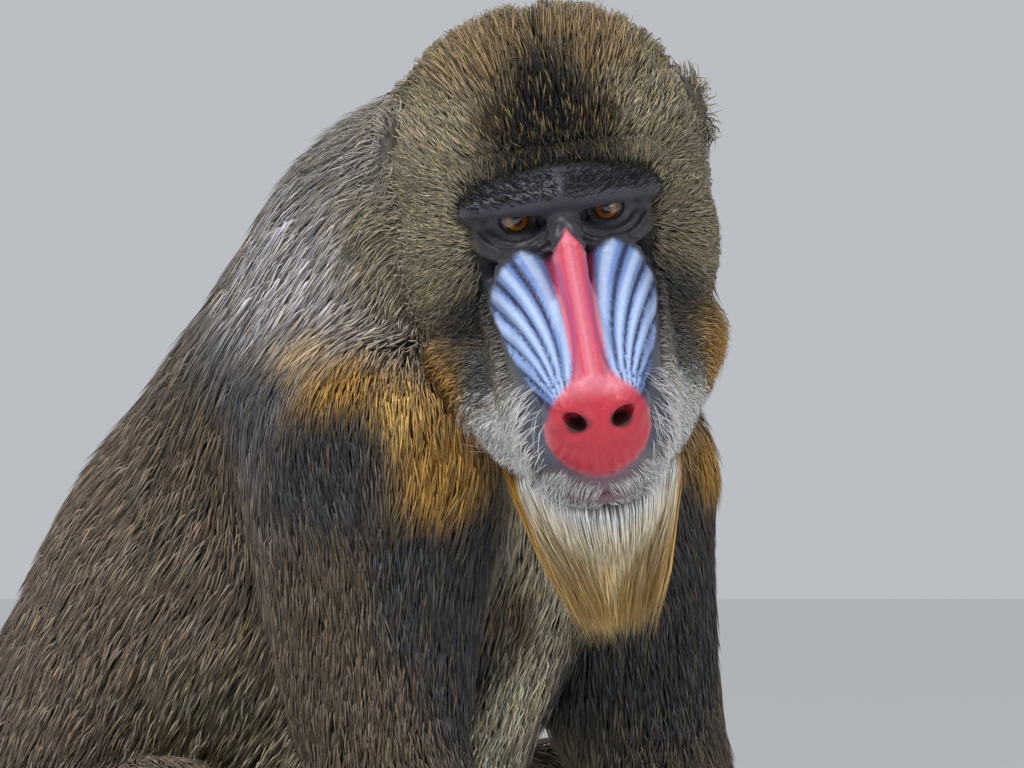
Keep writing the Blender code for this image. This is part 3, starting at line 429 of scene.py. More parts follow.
def brow_and_orbits(bm):
    """The straight bar of the brow, the cheekbones and the bridge of the nose."""
    for side in SIDES.values():
        chains = (
            ((0, 0.0135, 0.0170), (0.054, 0.001, 0.0125), 0.0100, 0.0075),
            ((0.022, 0.001, -0.017), (0.052, -0.014, -0.012), 0.0080, 0.0100),
            ((0.048, -0.018, 0.004), (0.060, -0.030, -0.004), 0.0120, 0.0140),
            ((0, 0.001, 0.0280), (0.050, -0.012, 0.0240), 0.0120, 0.0105),
            ((0.010, 0.004, -0.0140), (0.040, -0.006, -0.0160), 0.0100, 0.0090),
            ((0.010, 0.010, -0.0300), (0.012, 0.090, -0.0700), 0.0120, 0.0120),
        )
        for start, end, first, second in chains:
            head_chain(bm, (on_side(start, side), on_side(end, side)), (first, second), segments=24)
        add_ellipsoid(bm, at_head(EYE_SPACING / 2 * side, EYE_AHEAD, 0.0005), (0.0148, 0.0138, 0.0136))
    head_chain(bm, ((0, -0.007, 0.010), (0, 0.128, -0.0640)), (0.0100, 0.0115), segments=24)


def muzzle_shapes(bm):
    """The long box of the muzzle with its swellings, the nose, the lips and the chin."""
    middle = ((0, -0.030, -0.052), (0, 0.055, -0.076), (0, 0.108, -0.094))
    head_chain(bm, middle, (0.046, 0.039, 0.032), segments=32)
    for side in SIDES.values():
        top, low = (on_side(at_head(*place), side) for place in (SWELLING_TOP, SWELLING_LOW))
        add_capsule(bm, top, low, 0.0190, 0.0130)
        chains = (
            ((0.025, 0.004, -0.052), (0.022, 0.092, -0.088), 0.0275, 0.0215),
            ((0.028, 0.010, -0.080), (0.025, 0.078, -0.102), 0.0265, 0.0210),
            ((0.030, 0.045, -0.122), (0.054, -0.045, -0.094), 0.023, 0.031),
        )
        for start, end, first, second in chains:
            head_chain(bm, (on_side(start, side), on_side(end, side)), (first, second), segments=24)
        add_ellipsoid(bm, at_head(0.0165 * side, 0.132, -0.0760), (0.0158, 0.0165, 0.0175))
    add_ellipsoid(bm, at_head(0, 0.131, -0.0890), (0.0310, 0.0165, 0.0285))
    add_ellipsoid(bm, at_head(0, 0.088, -0.1040), (0.0460, 0.0415, 0.0290))
    add_ellipsoid(bm, at_head(0, 0.070, -0.1370), (0.0360, 0.0390, 0.0220))
    head_chain(bm, ((0, 0.060, -0.146), (0, 0.020, -0.140)), (0.024, 0.030), segments=24)
    lips(bm)


def lips(bm):
    """Two rolls round the front of the jaws, one on each side of the line of the mouth."""
    steps = 30
    for drop, radius, reach in ((0.0050, 0.0056, 0.0), (-0.0056, 0.0054, -0.004)):
        places = []
        for step in range(steps + 1):
            turn = math.pi * (step / steps - 0.5)
            ahead = 0.040 + (0.078 + reach) * math.cos(turn)
            up = MOUTH_FRONT_UP + (MOUTH_FRONT_AHEAD - ahead) * MOUTH_RISE + drop
            places.append(((0.040 + reach) * math.sin(turn), ahead, up))
        head_chain(bm, places, [radius] * len(places))


def lid_ring(side, size, stand, count=20):
    """Places round an eye's opening, at a distance from the middle of the eyeball."""
    places = []
    for step in range(count + 1):
        turn = 2 * math.pi * step / count
        across = size[0] * math.cos(turn)
        up = size[1] * math.sin(turn) * (1.0 - 0.12 * math.cos(2 * turn))
        ahead = math.sqrt(max(stand**2 - across**2 - up**2, (0.25 * stand) ** 2))
        places.append((EYE_SPACING / 2 * side + across, EYE_AHEAD + ahead, up + 0.0004))
    return places


def eye_surrounds(bm):
    """The rolled rims of the lids, a ring round each eye's opening."""
    for side in SIDES.values():
        ring = lid_ring(side, (0.0125, 0.0074), EYE_RADIUS + 0.0014)
        head_chain(bm, ring, [0.0016] * len(ring), segments=10)


def face_skin():
    """The front of the head in fine detail, cut for the eyes and nostrils, carried to where it is turned."""
    bm = bmesh.new()
    head_masses(bm, Matrix.Identity(4), DEPTH["head"] - 0.0010)
    whole = object_from(bm, "face")
    carve(whole, at_head(0, 0.020, -0.0125), (0.060, 0.034, 0.0260))
    bm = bmesh.new()
    brow_and_orbits(bm)
    muzzle_shapes(bm)
    bm.from_mesh(whole.data)
    bm.to_mesh(whole.data)
    bm.free()
    fuse(whole, voxel=0.0024, rounds=6)
    keep_side(whole, at_head(0, -0.046, 0), at_head(0, 1, 0))
    bm = bmesh.new()
    eye_surrounds(bm)
    bm.from_mesh(whole.data)
    bm.to_mesh(whole.data)
    bm.free()
    fuse(whole, voxel=0.00135, rounds=3)
    thin_out(whole, FACE_TRIANGLES)
    for side in SIDES.values():
        socket = at_head(EYE_SPACING / 2 * side, EYE_AHEAD, 0)
        carve(whole, socket, (EYE_RADIUS + 0.0002,) * 3, segments=48)
        carve(whole, socket + at_head(0, EYE_RADIUS, 0.0004), (0.0121, 0.0090, 0.0067))
        lean = Matrix.Rotation(math.radians(50 * side), 4, "Y")
        carve(whole, at_head(0.0140 * side, 0.146, -0.0785), (0.0052, 0.0130, 0.0090), segments=24, turn=lean)
    mesh = whole.data
    points = points_of(mesh)
    normals = np.empty(len(points) * 3)
    mesh.vertex_normals.foreach_get("vector", normals)
    points += normals.reshape(-1, 3) * relief(points)[:, None]
    mesh.vertices.foreach_set("co", points.ravel())
    mesh.update()
    mesh.transform(HEAD_STANDS)
    return whole


def ear_skin(side):
    """A small cupped ear with a rolled rim, set in the fur behind the cheek."""
    turn = Matrix.Rotation(math.radians(32) * side, 4, "Z")
    centre = at_head(*EAR_AT)
    centre.x *= side
    bm = bmesh.new()
    add_ellipsoid(bm, centre, (0.0090, 0.0162, 0.0222), turn=turn)
    ear = object_from(bm, "ear")
    carve(ear, centre + turn @ Vector((0.0090 * side, -0.0030, 0.0010)), (0.0100, 0.0125, 0.0175), turn=turn)
    bm = bmesh.new()
    rim = []
    for step in range(13):
        angle = math.radians(-150 + 25 * step)
        around = Vector((0.0035 * side, math.sin(angle) * 0.0135, math.cos(angle) * 0.0190))
        rim.append(centre + turn @ around)
    add_chain(bm, rim, [0.0018] * len(rim))
    bm.from_mesh(ear.data)
    bm.to_mesh(ear.data)
    bm.free()
    fuse(ear, voxel=0.0012, rounds=3)
    ear.data.transform(HEAD_STANDS)
    return ear


# Hands and feet


def hand_skin(side):
    """Palm down on the floor, fingers ahead with their joints, the thumb on the inner side."""
    bm = bmesh.new()
    wrist = on_side(WRIST, side)
    add_capsule(bm, wrist, wrist + PALM_STEP, 0.027, 0.023)
    for step in (-0.017, 0, 0.017):
        heel = on_side(WRIST + Vector((step * 0.6, -0.026, -0.040)), side)
        knuckle = on_side(WRIST + Vector((step, -0.072, -0.049)), side)
        add_capsule(bm, heel, knuckle, 0.0190, 0.0138)
    for step, length in FINGERS:
        fan = step * 0.30
        knuckle = on_side(WRIST + Vector((step, -0.070, -0.047)), side)
        joint = on_side(WRIST + Vector((step + fan * 0.5, -0.070 - length * 0.5, -0.044)), side)
        tip = on_side(WRIST + Vector((step + fan, -0.070 - length, -0.0562)), side)
        add_digit(bm, (knuckle, joint, tip), (0.0103, 0.0086, 0.0068))
    root = on_side(WRIST + Vector((-0.018, -0.038, -0.046)), side)
    joint = on_side(WRIST + Vector((-0.033, -0.060, -0.050)), side)
    tip = on_side(WRIST + Vector((-0.039, -0.080, -0.0562)), side)
    add_digit(bm, (root, joint, tip), (0.0120, 0.0090, 0.0070))
    return finish_paw(bm)


def foot_skin(side):
    """Sole flat on the floor, toes ahead, the big toe set off on the inner side."""
    bm = bmesh.new()
    ankle = on_side(ANKLE, side)
    add_capsule(bm, ankle + Vector((0, 0.004, 0.012)), ankle + on_side(HEEL_STEP, side), 0.027, 0.0245)
    for step in (-0.016, 0, 0.016):
        heel = on_side(ANKLE + Vector((step * 0.5, 0.008, -0.032)), side)
        ball = on_side(ANKLE + Vector((step * 1.15, -0.100, -0.0405)), side)
        add_capsule(bm, heel, ball, 0.0212, 0.0148)
    add_capsule(bm, ankle + Vector((0, -0.004, -0.004)), ankle + Vector((0, -0.080, -0.030)), 0.024, 0.016)
    for step, length in TOES:
        fan = step * 0.25
        knuckle = on_side(ANKLE + Vector((step, -0.102, -0.040)), side)
        joint = on_side(ANKLE + Vector((step + fan * 0.5, -0.102 - length * 0.55, -0.036)), side)
        tip = on_side(ANKLE + Vector((step + fan, -0.102 - length, -0.0482)), side)
        add_digit(bm, (knuckle, joint, tip), (0.0103, 0.0086, 0.0070))
    root = on_side(ANKLE + Vector((-0.014, -0.050, -0.036)), side)
    joint = on_side(ANKLE + Vector((-0.031, -0.088, -0.041)), side)
    tip = on_side(ANKLE + Vector((-0.038, -0.118, -0.0472)), side)
    add_digit(bm, (root, joint, tip), (0.0156, 0.0112, 0.0085))
    return finish_paw(bm)


def add_digit(bm, points, radii):
    """Two bones of a finger or toe with a knuckle between them, narrower in the middle of each bone."""
    start, joint, tip = points
    places = (start, start.lerp(joint, 0.5), joint, joint.lerp(tip, 0.5), tip)
    sizes = (radii[0], (radii[0] + radii[1]) * 0.46, radii[1] * 1.06, (radii[1] + radii[2]) * 0.47, radii[2])
    add_chain(bm, places, sizes)


def finish_paw(bm):
    bmesh.ops.transform(bm, matrix=ON_FLOOR, verts=bm.verts)
    paw = object_from(bm, "paw")
    fuse(paw, voxel=0.0020, rounds=3)
    thin_out(paw, PAW_TRIANGLES)
    return paw


def body_skin():
    """Trunk, head, tail and limbs, inset by the depth of the coat."""
    bm = bmesh.new()
    for region, start, end, first, second in body_bones():
        depth = depth_of(region)
        end_depth = DEPTH["paw"] * 4 if second == 0.031 else depth
        add_capsule(bm, start, end, first - depth, second - end_depth, segments=32)
    bmesh.ops.transform(bm, matrix=ON_FLOOR, verts=bm.verts)
    head_masses(bm, HEAD_STANDS, DEPTH["head"])
    body = object_from(bm, "mandrill_skin")
    fuse(body, voxel=0.0055, rounds=22)
    thin_out(body, BODY_TRIANGLES)
    return body


def whole_skin():
    """One closed skin of body, face, ears, hands and feet, flat where it rests on the floor."""
    skin = body_skin()
    boolean(skin, face_skin(), "UNION")
    for side in SIDES.values():
        for part in (ear_skin(side), hand_skin(side), foot_skin(side)):
            boolean(skin, part, "UNION")
    keep_side(skin, Vector((0, 0, 0.0002)), Vector((0, 0, 1)))
    skin.name = "mandrill_skin"
    return skin


# Colours, as seen, from 0 to 1

PAINT = {
    "jet": (0.045, 0.040, 0.040),
    "charcoal": (0.230, 0.225, 0.235),
    "slate": (0.330, 0.325, 0.335),
    # Grey of the neck's fur with a painted sheen
    "lilac grey": (0.640, 0.620, 0.620),
    "dove grey": (0.480, 0.465, 0.440),
    "umber": (0.200, 0.145, 0.090),
    "brown": (0.360, 0.310, 0.260),
    "grey brown": (0.450, 0.395, 0.345),
    "olive": (0.420, 0.370, 0.250),
    "tawny": (0.500, 0.410, 0.290),
    "drab": (0.520, 0.480, 0.400),
    "old gold": (0.790, 0.640, 0.360),
    "ochre": (0.640, 0.490, 0.240),
    "deep gold": (0.720, 0.520, 0.150),
    "honey": (0.930, 0.810, 0.560),
    "cream": (0.900, 0.850, 0.750),
    "white": (0.900, 0.890, 0.870),
    "buff": (0.740, 0.700, 0.610),
    "straw": (0.700, 0.600, 0.380),
    "gold": (0.880, 0.680, 0.260),
}


def linear(colour):
    """A colour as seen, made into the light it sends back."""
    colour = np.asarray(colour, dtype=float)
    return np.where(colour <= 0.04045, colour / 12.92, ((colour + 0.055) / 1.055) ** 2.4)


# Coat of the head: place, reach, colour, length, how far the tips stand off the skin, lie (across, ahead, up)
HEAD_COAT = (
    ((0.000, -0.006, 0.048), 0.027, "jet", 0.013, 0.005, (0.0, -0.5, 0.9)),
    ((0.000, -0.024, 0.072), 0.014, "jet", 0.026, 0.012, (0.0, -0.8, 0.7)),
    ((0.000, -0.070, 0.100), 0.014, "umber", 0.046, 0.020, (0.0, -1.0, 0.4)),
    ((0.034, -0.055, 0.092), 0.020, "tawny", 0.046, 0.021, (0.25, -1.0, 0.5)),
    ((0.040, -0.110, 0.090), 0.030, "olive", 0.044, 0.019, (0.2, -1.0, -0.2)),
    ((0.032, -0.018, 0.052), 0.012, "umber", 0.016, 0.007, (0.3, -0.7, 0.8)),
    ((0.056, -0.028, 0.050), 0.018, "drab", 0.015, 0.006, (0.5, -1.0, 0.5)),
    ((0.083, -0.058, 0.040), 0.022, "drab", 0.024, 0.009, (0.2, -1.0, 0.2)),
    ((0.086, -0.046, 0.005), 0.018, "drab", 0.018, 0.007, (0.3, -1.0, -0.1)),
    ((0.066, -0.026, 0.000), 0.012, "drab", 0.011, 0.005, (0.6, -1.0, 0.1)),
    ((0.084, -0.014, -0.034), 0.020, "drab", 0.017, 0.007, (0.5, -0.8, -0.5)),
    ((0.058, -0.004, -0.060), 0.021, "charcoal", 0.014, 0.005, (0.6, -0.7, -0.5)),
    ((0.078, -0.014, -0.104), 0.020, "ochre", 0.032, 0.012, (0.5, -0.6, -0.8)),
    ((0.110, -0.020, -0.095), 0.018, "old gold", 0.034, 0.013, (0.3, -0.6, -0.9)),
    ((0.085, 0.000, -0.140), 0.022, "ochre", 0.034, 0.012, (0.3, -0.5, -0.9)),
    ((0.062, 0.032, -0.128), 0.021, "white", 0.024, 0.008, (0.6, -0.5, -0.7)),
    ((0.050, 0.060, -0.122), 0.012, "white", 0.012, 0.004, (0.6, -0.4, -0.8)),
    ((0.050, 0.012, -0.088), 0.021, "slate", 0.012, 0.004, (0.6, -0.6, -0.6)),
    ((0.000, 0.095, -0.160), 0.020, "white", 0.016, 0.006, (0.0, 0.1, -1.0)),
    ((0.000, 0.050, -0.175), 0.020, "honey", 0.040, 0.014, (0.0, 0.0, -1.0)),
    ((0.085, -0.110, -0.030), 0.030, "drab", 0.034, 0.013, (0.3, -0.9, -0.6)),
    ((0.000, -0.180, 0.020), 0.040, "grey brown", 0.040, 0.015, (0.0, -0.5, -0.9)),
    ((0.060, -0.150, -0.060), 0.030, "dove grey", 0.042, 0.015, (0.2, -0.7, -0.9)),
)

# Coat of the body: place, reach, colour, length, how far the tips stand off the skin
BODY_COAT = (
    # Painted sheen: the pale lilac grey at the side of the neck is the grey of its fur with sunlight painted
    # into it.
    ((0.113, -0.066, 0.582), 0.046, "lilac grey", 0.050, 0.013),
    ((0.080, -0.070, 0.635), 0.030, "dove grey", 0.048, 0.014),
    ((0.126, -0.076, 0.530), 0.018, "old gold", 0.046, 0.012),
    ((0.134, -0.115, 0.502), 0.018, "ochre", 0.042, 0.012),
    ((0.120, -0.178, 0.455), 0.015, "ochre", 0.038, 0.011),
    ((0.080, -0.188, 0.405), 0.026, "charcoal", 0.036, 0.011),
    ((0.035, -0.176, 0.365), 0.022, "brown", 0.036, 0.011),
    ((0.131, -0.045, 0.500), 0.030, "slate", 0.046, 0.011),
    ((0.138, -0.005, 0.505), 0.028, "slate", 0.046, 0.012),
    ((0.165, -0.125, 0.464), 0.035, "charcoal", 0.040, 0.009),
    ((0.128, -0.180, 0.390), 0.035, "charcoal", 0.034, 0.008),
    ((0.172, -0.130, 0.380), 0.030, "brown", 0.032, 0.008),
    ((0.165, -0.145, 0.300), 0.040, "brown", 0.030, 0.008),
    ((0.100, -0.186, 0.330), 0.035, "charcoal", 0.028, 0.007),
    ((0.131, 0.009, 0.470), 0.035, "brown", 0.044, 0.012),
    ((0.142, 0.031, 0.387), 0.045, "grey brown", 0.042, 0.013),
    ((0.120, 0.100, 0.400), 0.050, "grey brown", 0.042, 0.013),
    ((0.143, 0.102, 0.333), 0.045, "grey brown", 0.040, 0.013),
    ((0.126, 0.021, 0.292), 0.035, "drab", 0.038, 0.012),
    ((0.000, 0.010, 0.620), 0.050, "grey brown", 0.046, 0.014),
    ((0.000, 0.150, 0.500), 0.060, "brown", 0.044, 0.014),
    ((0.000, 0.260, 0.360), 0.060, "brown", 0.042, 0.013),
    ((0.060, 0.340, 0.200), 0.050, "grey brown", 0.032, 0.011),
    ((0.000, -0.146, 0.304), 0.025, "buff", 0.034, 0.011),
    ((0.000, -0.150, 0.400), 0.030, "buff", 0.040, 0.012),
    ((0.052, -0.140, 0.320), 0.024, "charcoal", 0.034, 0.011),
    ((0.000, -0.060, 0.160), 0.060, "buff", 0.032, 0.011),
    ((0.150, -0.200, 0.200), 0.040, "brown", 0.024, 0.007),
    ((0.100, -0.220, 0.130), 0.040, "olive", 0.018, 0.005),
    ((0.076, -0.253, 0.070), 0.030, "umber", 0.010, 0.003),
    ((0.190, 0.060, 0.230), 0.060, "grey brown", 0.034, 0.010),
    ((0.120, 0.100, 0.100), 0.050, "drab", 0.030, 0.010),
    ((0.186, -0.060, 0.190), 0.040, "olive", 0.026, 0.008),
    ((0.178, -0.090, 0.110), 0.040, "umber", 0.020, 0.006),
    ((0.168, -0.135, 0.060), 0.030, "umber", 0.010, 0.003),
    ((0.000, 0.330, 0.150), 0.030, "drab", 0.024, 0.009),
    ((0.000, 0.360, 0.220), 0.030, "umber", 0.024, 0.008),
)

REGIONS = ["head", "neck", "trunk", "tail"]
for limb_word in SIDES:
    for limb_part in ("upper_arm", "forearm", "hand", "thigh", "shank", "foot", "seat"):
        REGIONS.append(f"{limb_part}_{limb_word}")

HEAD_MASSES = (
    (DOME_AT, (0.098, 0.095, 0.094)),
    ((0, -0.062, -0.072), (0.080, 0.072, 0.066)),
    ((0.056, -0.056, -0.034), (0.042, 0.056, 0.064)),
    ((0, 0.040, -0.085), (0.052, 0.085, 0.060)),
)
SHARPNESS = 5
HAIR_GAIN = 1.75


def bone_gaps(points):
    """How far rows of places are outside every bone's capsule, and which way each bone leads."""
    gaps, ways, names = [], [], []
    for region, start, end, first, second in body_bones():
        start, end = np.array(ON_FLOOR @ start), np.array(ON_FLOOR @ end)
        span = end - start
        share = np.clip((points - start) @ span / (span @ span), 0, 1)
        nearest = start + share[:, None] * span
        radius = first + (second - first) * share - depth_of(region)
        gaps.append(np.linalg.norm(points - nearest, axis=1) - radius)
        ways.append(span / np.linalg.norm(span))
        names.append(region)
    return np.array(gaps), np.array(ways), names


def head_gap(local):
    """How far rows of places on the upright head are outside its masses."""
    gaps = []
    for centre, radii in HEAD_MASSES:
        radii = np.array(radii) - DEPTH["head"]
        offset = local - np.array(at_head(*centre))
        if centre[0]:
            offset = np.abs(local * [1, 0, 0]) + local * [0, 1, 1] - np.array(at_head(*centre))
        gaps.append((np.linalg.norm(offset / radii, axis=1) - 1) * radii.min())
    return np.min(gaps, axis=0)


class Coat:
    """What grows at rows of places on the skin: region, colour, length, stand, lie and how bare it is."""

    def __init__(self, points):
        self.points = points
        self.local = carried(points, TO_HEAD)
        gaps, ways, names = bone_gaps(points)
        near_head = head_gap(self.local)
        nearest = np.argmin(gaps, axis=0)
        self.region = np.array([REGIONS.index(name) for name in names])[nearest]
        self.region[near_head < gaps.min(axis=0)] = 0
        self.weigh_patches()
        self.lay(gaps, ways, near_head)
        self.bare_parts()

    def weigh_patches(self):
        mirrored = np.abs(self.points[:, :1])
        body = np.hstack([mirrored, self.points[:, 1:]])
        head = np.stack([np.abs(self.local[:, 0]), -self.local[:, 1], self.local[:, 2]], axis=1)
        count = len(self.points)
        total = np.zeros(count)
        self.colour = np.zeros((count, 3))
        self.length = np.zeros(count)
        self.stand = np.zeros(count)
        self.head_lie = np.zeros((count, 3))
        side = np.sign(self.local[:, 0])
        for row in HEAD_COAT + BODY_COAT:
            place, reach, paint, length, stand = row[:5]
            here = head if len(row) == 6 else body
            away = np.linalg.norm(here - np.array(place), axis=1)
            weight = (reach / (away + 0.003)) ** SHARPNESS
            total += weight
            self.colour += weight[:, None] * linear(PAINT[paint])
            self.length += weight * length
            self.stand += weight * stand
            if len(row) == 6:
                across, ahead, up = row[5]
                lie = np.stack([across * side, np.full(count, -ahead), np.full(count, up)], axis=1)
                self.head_lie += weight[:, None] * lie / np.linalg.norm((across, ahead, up))
        self.colour /= total[:, None]
        self.length /= total
        self.stand /= total

    def lay(self, gaps, ways, near_head):
        """The lie follows the bones down the body, and its own patches on the head."""
        weight = np.exp(-np.maximum(gaps - gaps.min(axis=0), 0) / 0.018)
        lie = weight.T @ ways
        lie /= np.linalg.norm(lie, axis=1)[:, None]
        lie += np.array([0, 0.10, -0.35])
        head = carried(self.head_lie, Matrix(TO_HEAD.to_3x3().transposed()).to_4x4())
        head /= np.linalg.norm(head, axis=1)[:, None] + 1e-9
        on_head = 1 - ease(-0.006, 0.022, near_head - gaps.min(axis=0))
        self.lie = lie * (1 - on_head[:, None]) + head * on_head[:, None]

    def bare_parts(self):
        self.face = Face(self.local)
        on_head = self.region == 0
        bare = self.face.bare * on_head
        ear = np.zeros(len(self.points))
        for side in SIDES.values():
            centre = np.array([EAR_AT[0] * side, -EAR_AT[1], EAR_AT[2]])
            away = np.linalg.norm((self.local - centre) / (0.0125, 0.0190, 0.0245), axis=1)
            ear = np.maximum(ear, 1 - ease(0.85, 1.05, away))
        self.ear = ear
        self.paw = np.zeros(len(self.points))
        for word, side in SIDES.items():
            wrist = np.array(ON_FLOOR @ on_side(WRIST, side))
            ankle = np.array(ON_FLOOR @ on_side(ANKLE, side))
            for centre, part, ahead in ((wrist, "hand", 0.105), (ankle, "foot", 0.130)):
                near = np.linalg.norm((self.points - centre)[:, :2], axis=1) < 0.19
                low = self.points[:, 2] < centre[2] + 0.004
                gone = centre[1] - self.points[:, 1]
                backs = ease(0.004, 0.022, self.points[:, 2]) * (1 - ease(ahead * 0.5, ahead * 0.8, gone))
                inside = near & low & (gone > -0.06)
                self.paw = np.maximum(self.paw, inside * (1 - 0.85 * backs))
        pads = np.zeros(len(self.points))
        for side in SIDES.values():
            pad = np.array(ON_FLOOR @ on_side(SEAT_PAD, side)) + (0, -0.017, 0)
            away = np.linalg.norm((self.points - pad) / (0.044, 0.062, 0.050), axis=1)
            pads = np.maximum(pads, 1 - ease(0.80, 1.05, away))
        self.pads = pads * (self.points[:, 2] < 0.06)
        rump = np.linalg.norm((self.points - (0, 0.345, 0.085)) / (0.070, 0.060, 0.060), axis=1)
        self.rump = (1 - ease(0.40, 1.15, rump)) * (1 - self.pads)
        self.bare = np.clip(bare + 0.55 * ear + self.paw + self.pads + self.rump, 0, 1)


# Skin colours


def mix(under, over, share):
    return under + (np.asarray(over) - under) * np.clip(share, 0, 1)[:, None]


def skin_tint(coat, colours):
    """Colour of the skin at every place: dark under the coat, painted where it is bare. Painted highlights
    lie on the crests of the ridges, the stripe and the top of the nose pad, a painted sheen on the brow, and
    painted shade round the nostrils and, with their own darker skin, in the grooves.
    """
    face = coat.face
    tint = coat.colour * 0.42
    here = coat.region == 0
    dark = linear(colours.dark_skin)
    face_tint = np.tile(dark, (len(tint), 1))
    blue = linear(colours.panel)
    deep = linear(colours.panel_edge)
    groove_navy_and_shade = linear(colours.groove_skin_and_shade)
    pale = linear(colours.panel_highlight)
    edge = ease(-0.030, -0.004, face.reach - curve(PANEL_LIMITS, 0) * 0.9)
    ridge = mix(np.tile(blue, (len(tint), 1)), deep, np.maximum(edge * 0.8, ease(12, 26, face.swing)))
    # Painted highlight: the crests of the ridges near the nose are paled towards near white, as where the
    # light catches them.
    ridge = mix(ridge, pale, ease(0.80, 1.0, face.ridge) * (1 - ease(0, 22, face.swing)) * 0.55)
    # Grooves mixed to dark navy: partly their own darker skin, partly painted shade in the creases.
    ridge = mix(groove_navy_and_shade[None, :], ridge, 0.03 + 0.97 * ease(0.30, 0.66, face.ridge))
    side = ease(-0.110, -0.085, face.drop)
    muzzle = mix(np.tile(linear(colours.muzzle), (len(tint), 1)), dark, 0.4 * side)
    face_tint = mix(face_tint, muzzle, (face.drop < -0.03).astype(float))
    face_tint = mix(face_tint, ridge, face.panel)
    # Painted highlight: the raised middle and side folds of the stripe are mixed towards light pink, the side
    # folds partly for their own paler skin.
    highlight_folds = np.abs(np.cos(face.across / 0.0105 * np.pi))
    red = mix(np.tile(linear(colours.nose), (len(tint), 1)), linear(colours.stripe_highlight), highlight_folds * 0.55)
    face_tint = mix(face_tint, red, face.red)
    face_tint = mix(face_tint, linear(colours.rim), face.rim * 0.75 * ease(-0.016, -0.030, face.drop))
    # Painted highlight: the top of the nose pad is mixed towards the stripe's highlight pink, as where light
    # falls on it.
    top = ease(-0.112, -0.098, face.drop)
    pad = mix(np.tile(linear(colours.pad), (len(tint), 1)), linear(colours.stripe_highlight), top * 0.6)
    face_tint = mix(face_tint, pad, face.pad)
    lip = ease(-0.140, -0.152, face.drop)
    face_tint = mix(face_tint, linear(colours.lip), lip * (1 - face.pad))
    line = np.exp(-((mouth_gap(coat.local) / 0.0020) ** 2)) * (face.ahead > 0.03)
    face_tint = mix(face_tint, linear(colours.mouth), line)
    # Painted shade: the carved nostrils and the skin round them are darkened with the mouth's colour at 0.4.
    face_tint = mix(face_tint, linear(colours.mouth) * 0.4, face.nostril)
    # Partly painted sheen: the brow's dark skin is made lighter and bluer than the skin round the eyes.
    brow = linear(colours.brow)[None, :]
    face_tint = mix(face_tint, brow, face.brow)
    face_tint = mix(face_tint, linear(colours.lid), face.lid)
    tint = mix(tint, face_tint, face.bare * here)
    tint = mix(tint, linear(colours.ear), coat.ear)
    tint = mix(tint, linear(colours.paw), coat.paw)
    tint = mix(tint, linear(colours.seat), coat.pads)
    middle = np.abs(coat.points[:, 0]) < 0.016
    around = mix(np.tile(linear(colours.rump), (len(tint), 1)), linear(colours.seat), middle * 0.8)
    return mix(tint, around, coat.rump)


def mouth_gap(local):
    """How far places on the upright head are above the line of the mouth."""
    return local[:, 2] - (MOUTH_FRONT_UP + (MOUTH_FRONT_AHEAD + local[:, 1]) * MOUTH_RISE)


# Attributes and maps


def store(mesh, name, kind, domain, values):
    layer = mesh.attributes.new(name, kind, domain)
    field = "color" if kind == "FLOAT_COLOR" else "vector" if kind == "FLOAT_VECTOR" else "value"
    layer.data.foreach_set(field, np.ascontiguousarray(values, dtype=np.float32).ravel())


def with_alpha(colour):
    return np.hstack([colour, np.ones((len(colour), 1))])


def bone_axis(region):
    """Start and end of a region's main bone, to unroll the skin round."""
    if region == 0:
        throat, crown = at_head(0, -0.06, -0.16), at_head(0, -0.06, 0.12)
        return np.array(HEAD_STANDS @ throat), np.array(HEAD_STANDS @ crown)
    for name, start, end, first, second in body_bones():
        if name == REGIONS[region] and name != "trunk":
            return np.array(ON_FLOOR @ start), np.array(ON_FLOOR @ end)
    return np.array((0, -0.10, 0.60)), np.array((0, 0.28, 0.05))


def unrolled(points, region):
    """Where rows of places lie on the skin of a region, unrolled round its bone: 0 to 1 each way."""
    start, end = bone_axis(region)
    way = (end - start) / np.linalg.norm(end - start)
    wide = np.cross(way, (0.31, 0.95, 0.05))
    wide /= np.linalg.norm(wide)
    thin = np.cross(way, wide)
    offset = points - start
    turn = np.arctan2(offset @ wide, offset @ thin) / (2 * np.pi) + 0.5
    along = offset @ way
    low, high = along.min() - 0.001, along.max() + 0.001
    return np.stack([0.01 + 0.98 * turn, 0.01 + 0.98 * (along - low) / (high - low)], axis=1)


# Coat


def sample(corners, areas, density, draw):
    """Roots spread at random over triangles, so many to a square metre: their places and triangles."""
    wanted = areas * density
    counts = np.floor(wanted + draw.random(len(wanted))).astype(int)
    picked = np.repeat(np.arange(len(areas)), counts)
    first, second = draw.random(len(picked)), draw.random(len(picked))
    over = first + second > 1
    first[over], second[over] = 1 - first[over], 1 - second[over]
    a, b, c = corners[picked, 0], corners[picked, 1], corners[picked, 2]
    return a + (b - a) * first[:, None] + (c - a) * second[:, None], picked


